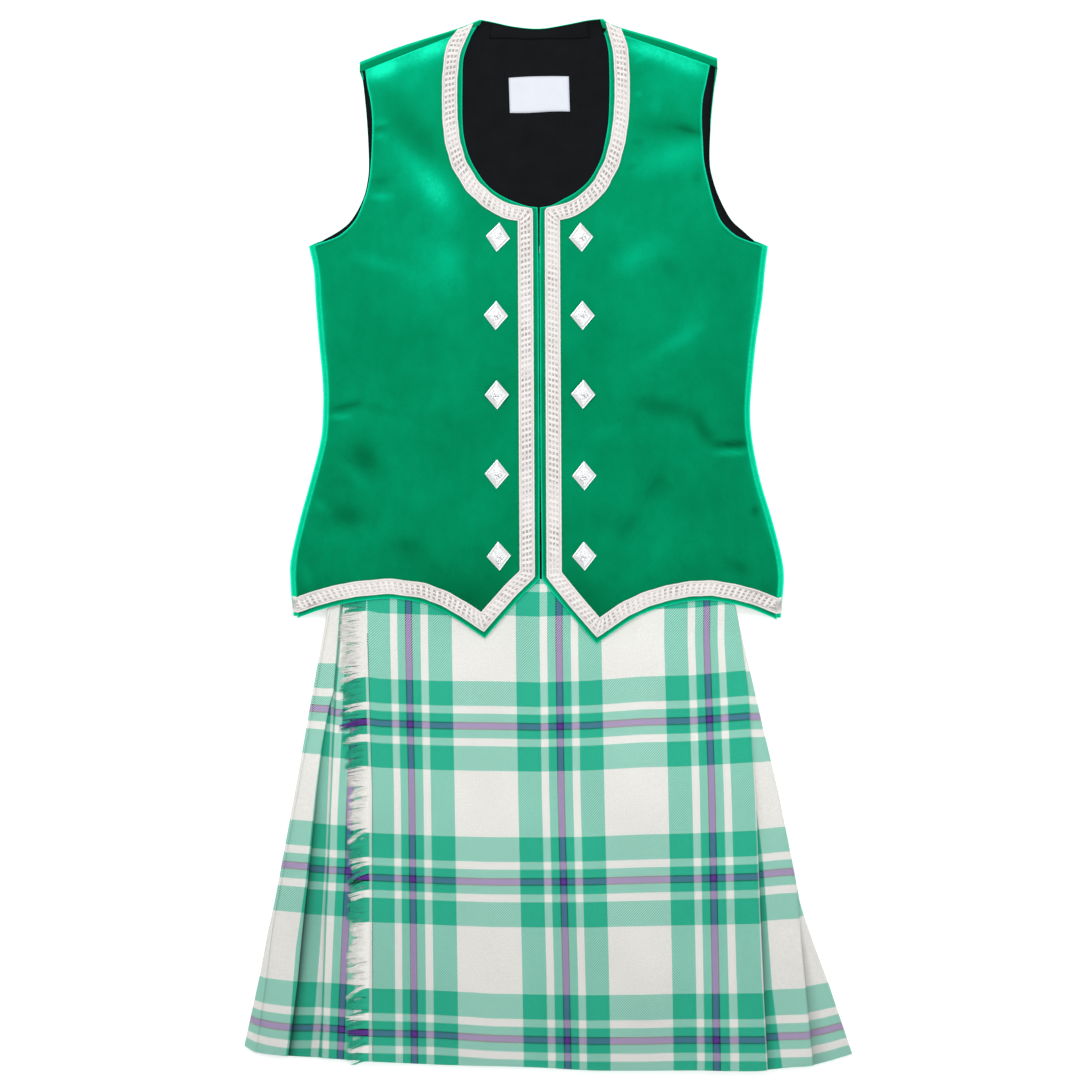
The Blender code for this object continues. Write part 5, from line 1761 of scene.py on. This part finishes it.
def apron_controls(row):
    """Right side pleat, the deep pleat under the apron's folded edge, and the top apron."""
    _, _, right, _, under_fold, _, apron_fold, right_fold, root = row
    points = [(right_underlay_end(right, right_fold), level(4), ("right pleat", 4.2))]
    points += hairpin(right_fold, level(4), level(5), 1.0)
    points += face_run(right_fold - FOLD_ROUND, apron_fold - 6.0, level(5), ("right pleat", 3.0), 6)
    points += hairpin(apron_fold - APRON_UNDERLAY, level(5), level(6), -1.0)
    points += hairpin(apron_fold, level(6), level(7), 1.0)
    points += face_run(apron_fold - FOLD_ROUND, root - 0.8, lambda x: apron_height(x, under_fold, apron_fold),
                       ("apron", 0.0), 90)
    return points


def hollow_shade(panel, x, row):
    """Shade beside a fold, which starts where the fold opens, and a little down the length of the kilt."""
    y = row[0]
    # painted light that falls off towards the hem
    tone = interpolate(KILT_TONES, y, 1)
    if panel not in HOLLOWS:
        return tone
    column, depth, reach, closed_y, open_y = HOLLOWS[panel]
    depth *= clamp((closed_y - y) / (closed_y - open_y))
    return tone * (1.0 - depth * math.exp(-max(0.0, x - row[column]) / reach))


def cloth_row(controls, y_at, row_values):
    """One row's points with cloth coordinates, which are shared out by length between marked points."""
    marked = []
    for x, z, cloth in controls:
        y = y_at(x)
        if cloth is None:
            marked.append([x, y, z, None, None, interpolate(KILT_TONES, y, 1)])
            continue
        panel, extra = cloth
        across = warp_at(panel, x, y) + extra if panel in WARP_LINES and extra == int(extra) else extra
        marked.append([x, y, z, across, weft_at(panel, x, y), hollow_shade(panel, x, row_values)])
    known = [index for index, point in enumerate(marked) if point[3] is not None]
    for first, last in zip(known, known[1:]):
        lengths = [0.0]
        for index in range(first, last):
            a, b = marked[index], marked[index + 1]
            lengths.append(lengths[-1] + math.hypot(b[0] - a[0], b[2] - a[2]))
        for index in range(first + 1, last):
            share = lengths[index - first] / lengths[-1]
            for k in (3, 4):
                marked[index][k] = marked[first][k] + share * (marked[last][k] - marked[first][k])
    if known[0] != 0 or known[-1] != len(marked) - 1:
        raise ValueError("a cloth row starts and ends with marked points")
    return marked


def kilt_ys():
    """Row heights: few where the waistcoat covers the kilt, many where the kilt shows."""
    shown = KILT_ROWS[-1][0] - RAMP_TOP_Y
    count = int(-shown / SHOWN_ROW_STEP)
    return COVERED_YS + [RAMP_TOP_Y + shown * index / count for index in range(count + 1)]


def build_kilt_cloth(name, nodes, controls_of, creases=()):
    """Cloth wall through the kilt's rows, with warp and weft coordinates on both sides."""
    rows = []
    for y in kilt_ys():
        row = [y] + [interpolate(KILT_ROWS, y, column) for column in range(1, 9)]
        base = kilt_base(y)
        points = cloth_row(controls_of(row), kilt_row_y(y), row)
        for index, point in enumerate(points):
            point[2] += base
            if creases and index >= APRON_CREASES_FROM:
                fade = smooth((CREASES_BELOW_Y - point[1]) / CREASES_FADE)
                point[2] += fade * crease_height(point[0], point[1], creases)
        rows.append(points)
    columns = len(rows[0])
    points, uv, tones = [], [], []
    for out in (TARTAN_WALL / 2.0, -TARTAN_WALL / 2.0):
        for row in rows:
            normals = normals_along([point[0:3:2] for point in row], False)
            for (x, y, z, across, down, tone), (nx, nz) in zip(row, normals):
                points.append((x + nx * out, y, z + nz * out))
                uv.append((across, down))
                tones.append(tone)
    count = len(rows) * columns
    faces = grid_faces(len(rows), columns, flip=True)
    faces += grid_faces(len(rows), columns, start=count)
    for i in range(len(rows) - 1):
        for j, flip in ((0, False), (columns - 1, True)):
            a = i * columns + j
            face = (a, a + columns, a + columns + count, a + count)
            faces.append(face[::-1] if flip else face)
    for i, flip in ((0, True), (len(rows) - 1, False)):
        for j in range(columns - 1):
            a = i * columns + j
            face = (a, a + 1, a + 1 + count, a + count)
            faces.append(face[::-1] if flip else face)
    return add_piece(build_mesh(name, points, faces, uv=uv, tone=tones), tartan(), nodes)


def build_band():
    """Plain waistband, hidden inside the waistcoat."""
    y0, left, right = KILT_ROWS[0][:3]
    low, high = KILT_BASE_INSIDE, KILT_BASE_INSIDE + BAND_HEIGHT
    middle, half = (low + high) / 2.0, BAND_HEIGHT / 2.0
    ends = (left + BAND_FOLD, right - BAND_FOLD)
    loop = []
    for start, end, turn, side_z in ((ends[1], ends[0], -0.5, high), (ends[0], ends[1], 0.5, low)):
        for step in range(9):
            angle = math.pi * (step / 8.0 + turn)
            loop.append((start + BAND_FOLD * math.cos(angle), middle + half * math.sin(angle)))
        for step in range(1, 24):
            loop.append((start + (end - start) * step / 24.0, side_z))
    rows, count = 9, len(loop)
    points, faces = [], []
    for i in range(rows):
        share = i / (rows - 1)
        pinch = 1.0 - 0.12 * abs(2.0 * share - 1.0) ** 6
        for x, z in loop:
            points.append((x, y0 + SEAM_GAP + BAND_DEPTH * share, middle + (z - middle) * pinch))
    for start in range(0, (rows - 1) * count, count):
        faces += ring_faces(range(start, start + count), range(start + count, start + 2 * count), closed=True)
    wool = finish_of("Band wool", band_look, shades())
    item = add_piece(build_mesh("waistband_cloth", points, faces), wool, ["kilt_waistband"])
    add_wall(item, BAND_WALL)


def fringe_bundles(hem_y):
    """Places down the apron's edge to which threads gather, with their droop, twist and length."""
    bundles = []
    y = FRINGE_TOP_Y + 6.0
    while y > hem_y - 6.0:
        bundles.append((y, random.uniform(0.5, 1.0) ** 2 * random.choice((1.0, 1.0, 1.6, 2.6)) * 4.2,
                        random.uniform(-1.4, 1.4), random.uniform(0.86, 1.12)))
        y -= random.uniform(3.0, 6.5)
    return bundles


def build_fringe():
    """Weft threads drawn out along the apron's edge, in soft bundles that droop."""
    random.seed(7)
    tubes = Tubes(5)
    count = sizes().fringe_threads
    mean = sizes().fringe_length / MM
    hem_y = KILT_ROWS[-1][0]
    bundles = fringe_bundles(hem_y)
    shares = [piece / FRINGE_PIECES for piece in range(FRINGE_PIECES + 1)]
    for index in range(count):
        y = FRINGE_TOP_Y + (hem_y - FRINGE_TOP_Y) * (index + random.uniform(-0.4, 0.4)) / count
        centre, droop, twist, long = min(bundles, key=lambda item: abs(item[0] - y))
        root, under_fold = kilt_value(y, 8), kilt_value(y, 4)
        y_at = kilt_row_y(y)
        length = mean * long * random.uniform(1.0 - FRINGE_SPREAD, 1.0 + FRINGE_SPREAD)
        length *= 1.0 + 0.2 * smooth((y + 200.0) / 60.0)  # longer near the top
        gather = (centre - y) * random.uniform(0.0, 0.42)
        stray = random.gauss(0.0, 0.5)
        layer = random.uniform(0.0, 0.9)
        down = weft_at("apron", root, y_at(root))
        top = under_apron_height(root, under_fold) + APRON_PITCH
        path = []
        for share in shares:
            x = root - 0.3 - length * share
            sink = droop * share ** 1.8 - gather * share ** 1.5 + stray * share ** 2
            sink += 0.25 * twist * math.sin(5.0 * share)
            rest = under_apron_height(x, under_fold) + TARTAN / 2.0 + 0.3
            z = top + (rest + layer - top) * smooth(share * 1.6)
            py = y_at(x) - sink
            path.append((x, py, kilt_base(py) + z))
        half = random.uniform(0.17, 0.25)
        widths = [half * (1.0 - 0.35 * share ** 2) for share in shares]
        tubes.add(path, widths, widths, uv=(0.0, down))
    wool = finish_of("Fringe wool", fringe_look, shades(), sizes().thread_count)
    add_piece(tubes.mesh("fringe_threads"), wool, ["apron_fringe"])


def build_edge_stitches(height):
    """Dark thread that keeps the apron's edge, in short stitches beside the fringe."""
    random.seed(3)
    tubes = Tubes(5)
    y = STITCH_TOP_Y
    while y > KILT_ROWS[-1][0] + 2.0:
        x = interpolate(WARP_LINES["apron"][1], y, 1)
        place = kilt_row_y(y)(x)
        lean = random.uniform(-0.15, 0.15)
        path = []
        for share in (0.0, 0.3, 0.7, 1.0):
            px, py = x + lean + 0.15 * share, place - share
            path.append((px, py, height(px, py) + 0.2 * math.sin(math.pi * share)))
        tubes.add(path, [0.44] * 4, [0.26] * 4)
        y -= random.uniform(1.85, 2.15)
    thread = finish_of("Edge thread", edge_thread_look, shades())
    add_piece(tubes.mesh("edge_stitches"), thread)


# Operators

class DRESS_OT_waistcoat_back(bpy.types.Operator):
    """Build the waistcoat's velvet back"""
    bl_idname = "dress.waistcoat_back"
    bl_label = "Waistcoat back"

    def execute(self, context):
        build_waistcoat_back()
        return {"FINISHED"}


class DRESS_OT_lining(bpy.types.Operator):
    """Build the lining, the neck facing and the label"""
    bl_idname = "dress.lining"
    bl_label = "Lining and label"

    def execute(self, context):
        build_lining()
        build_neck_facing()
        build_label()
        return {"FINISHED"}


class DRESS_OT_kilt(bpy.types.Operator):
    """Build the kilt's pleats, under apron, top apron and waistband"""
    bl_idname = "dress.kilt"
    bl_label = "Kilt"

    def execute(self, context):
        pleats = build_kilt_cloth("kilt_back_cloth", ["kilt_pleats"], pleats_controls)
        under = build_kilt_cloth("kilt_under_cloth", ["kilt_under_apron"], under_apron_controls)
        apron = build_kilt_cloth("kilt_apron_cloth", ["kilt_apron"], apron_controls, APRON_CREASES)
        build_band()
        return {"FINISHED"}


class DRESS_OT_fringe(bpy.types.Operator):
    """Build the apron's fringe and the stitches beside it"""
    bl_idname = "dress.fringe"
    bl_label = "Fringe"

    def execute(self, context):
        build_fringe()
        build_edge_stitches(surface_reader([bpy.data.objects["kilt_apron_cloth"]]))
        return {"FINISHED"}


class DRESS_OT_fronts(bpy.types.Operator):
    """Build the waistcoat's two velvet fronts"""
    bl_idname = "dress.fronts"
    bl_label = "Waistcoat fronts"

    def execute(self, context):
        build_front("velvet_front_left", "front_left", LEFT_FRONT_ROWS, LEFT_HEM, -1.0)
        build_front("velvet_front_right", "front_right", RIGHT_FRONT_ROWS, RIGHT_HEM, 1.0)
        return {"FINISHED"}


class DRESS_OT_braid(bpy.types.Operator):
    """Build the silver braid on both fronts"""
    bl_idname = "dress.braid"
    bl_label = "Braid"

    def execute(self, context):
        back = bpy.data.objects["velvet_back"]
        sides = (("left", LEFT_NECK, LEFT_HEM, -1.0), ("right", RIGHT_NECK, RIGHT_HEM, 1.0))
        for side, neck, hem, direction in sides:
            height = surface_reader([bpy.data.objects[f"velvet_front_{side}"], back])
            build_braid(side, BraidTrack(neck, hem, direction, height))
        return {"FINISHED"}


class DRESS_OT_buttons(bpy.types.Operator):
    """Build the ten diamond buttons"""
    bl_idname = "dress.buttons"
    bl_label = "Buttons"

    def execute(self, context):
        counts = {"left": 0, "right": 0}
        for place in BUTTON_PLACES:
            side = place[0]
            counts[side] += 1
            height = surface_reader([bpy.data.objects[f"velvet_front_{side}"]])
            build_button(f"diamond_{side}_{counts[side]}", f"button_{side}_{counts[side]}", place, height)
        hook = frame["nodes"]["front_hook"]
        hook.data.materials.clear()
        hook.data.materials.append(finish_of("Plated wire", wire_look, shades()))
        return {"FINISHED"}


class DRESS_OT_stage(bpy.types.Operator):
    """Build the floor, the soft light and the camera straight above"""
    bl_idname = "dress.stage"
    bl_label = "Stage"

    def execute(self, context):
        scene = context.scene
        mesh = bpy.data.meshes.new("Floor")
        corners = [(x * FLOOR_HALF, y * FLOOR_HALF, 0.0) for x, y in ((-1, -1), (1, -1), (1, 1), (-1, 1))]
        mesh.from_pydata(corners, [], [(0, 1, 2, 3)])
        floor = bpy.data.objects.new("Floor", mesh)
        mesh.materials.append(finish_of("Pale floor", floor_look))
        scene.collection.objects.link(floor)
        floor.location.z = -FLOOR_DROP

        world = bpy.data.worlds.new("Soft room")
        scene.world = world
        world.use_nodes = True
        background = world.node_tree.nodes["Background"]
        background.inputs["Color"].default_value = (1.0, 1.0, 1.0, 1.0)
        background.inputs["Strength"].default_value = ROOM_LIGHT
        for name, place, width, power in LAMPS:
            data = bpy.data.lights.new(name, "AREA")
            data.shape = "SQUARE"
            data.size = width
            data.energy = power
            lamp = bpy.data.objects.new(name, data)
            lamp.location = place
            lamp.rotation_euler = (-lamp.location).to_track_quat("-Z", "Y").to_euler()
            scene.collection.objects.link(lamp)

        scene.view_settings.view_transform = "Standard"
        data = bpy.data.cameras.new("Camera")
        data.lens = sizes().lens
        data.sensor_width = 36.0
        data.clip_start, data.clip_end = 0.05, 20.0
        camera = bpy.data.objects.new("Camera", data)
        camera.location = (*CAMERA_PLACE, sizes().camera_height)
        scene.collection.objects.link(camera)
        scene.camera = camera
        return {"FINISHED"}


class DRESS_PT_panel(bpy.types.Panel):
    """Buttons and sizes of the dress"""
    bl_idname = "DRESS_PT_panel"
    bl_label = "Tartan dress"
    bl_space_type = "VIEW_3D"
    bl_region_type = "UI"
    bl_category = "Dress"

    def draw(self, context):
        layout = self.layout
        for operator in OPERATORS:
            layout.operator(operator.bl_idname)
        for group in (context.scene.dress_sizes, context.scene.dress_colours):
            for key in group.__annotations__:
                layout.prop(group, key)


OPERATORS = (
    DRESS_OT_stage,
    DRESS_OT_waistcoat_back,
    DRESS_OT_lining,
    DRESS_OT_kilt,
    DRESS_OT_fringe,
    DRESS_OT_fronts,
    DRESS_OT_braid,
    DRESS_OT_buttons,
)
CLASSES = (DressColours, DressSizes, *OPERATORS, DRESS_PT_panel)


def register():
    for item in CLASSES:
        bpy.utils.register_class(item)
    bpy.types.Scene.dress_colours = bpy.props.PointerProperty(type=DressColours)
    bpy.types.Scene.dress_sizes = bpy.props.PointerProperty(type=DressSizes)


def unregister():
    del bpy.types.Scene.dress_sizes
    del bpy.types.Scene.dress_colours
    for item in reversed(CLASSES):
        bpy.utils.unregister_class(item)


def main():
    register()
    for operator in OPERATORS:
        group, name = operator.bl_idname.split(".")
        getattr(getattr(bpy.ops, group), name)()


if __name__ == "__main__":
    main()
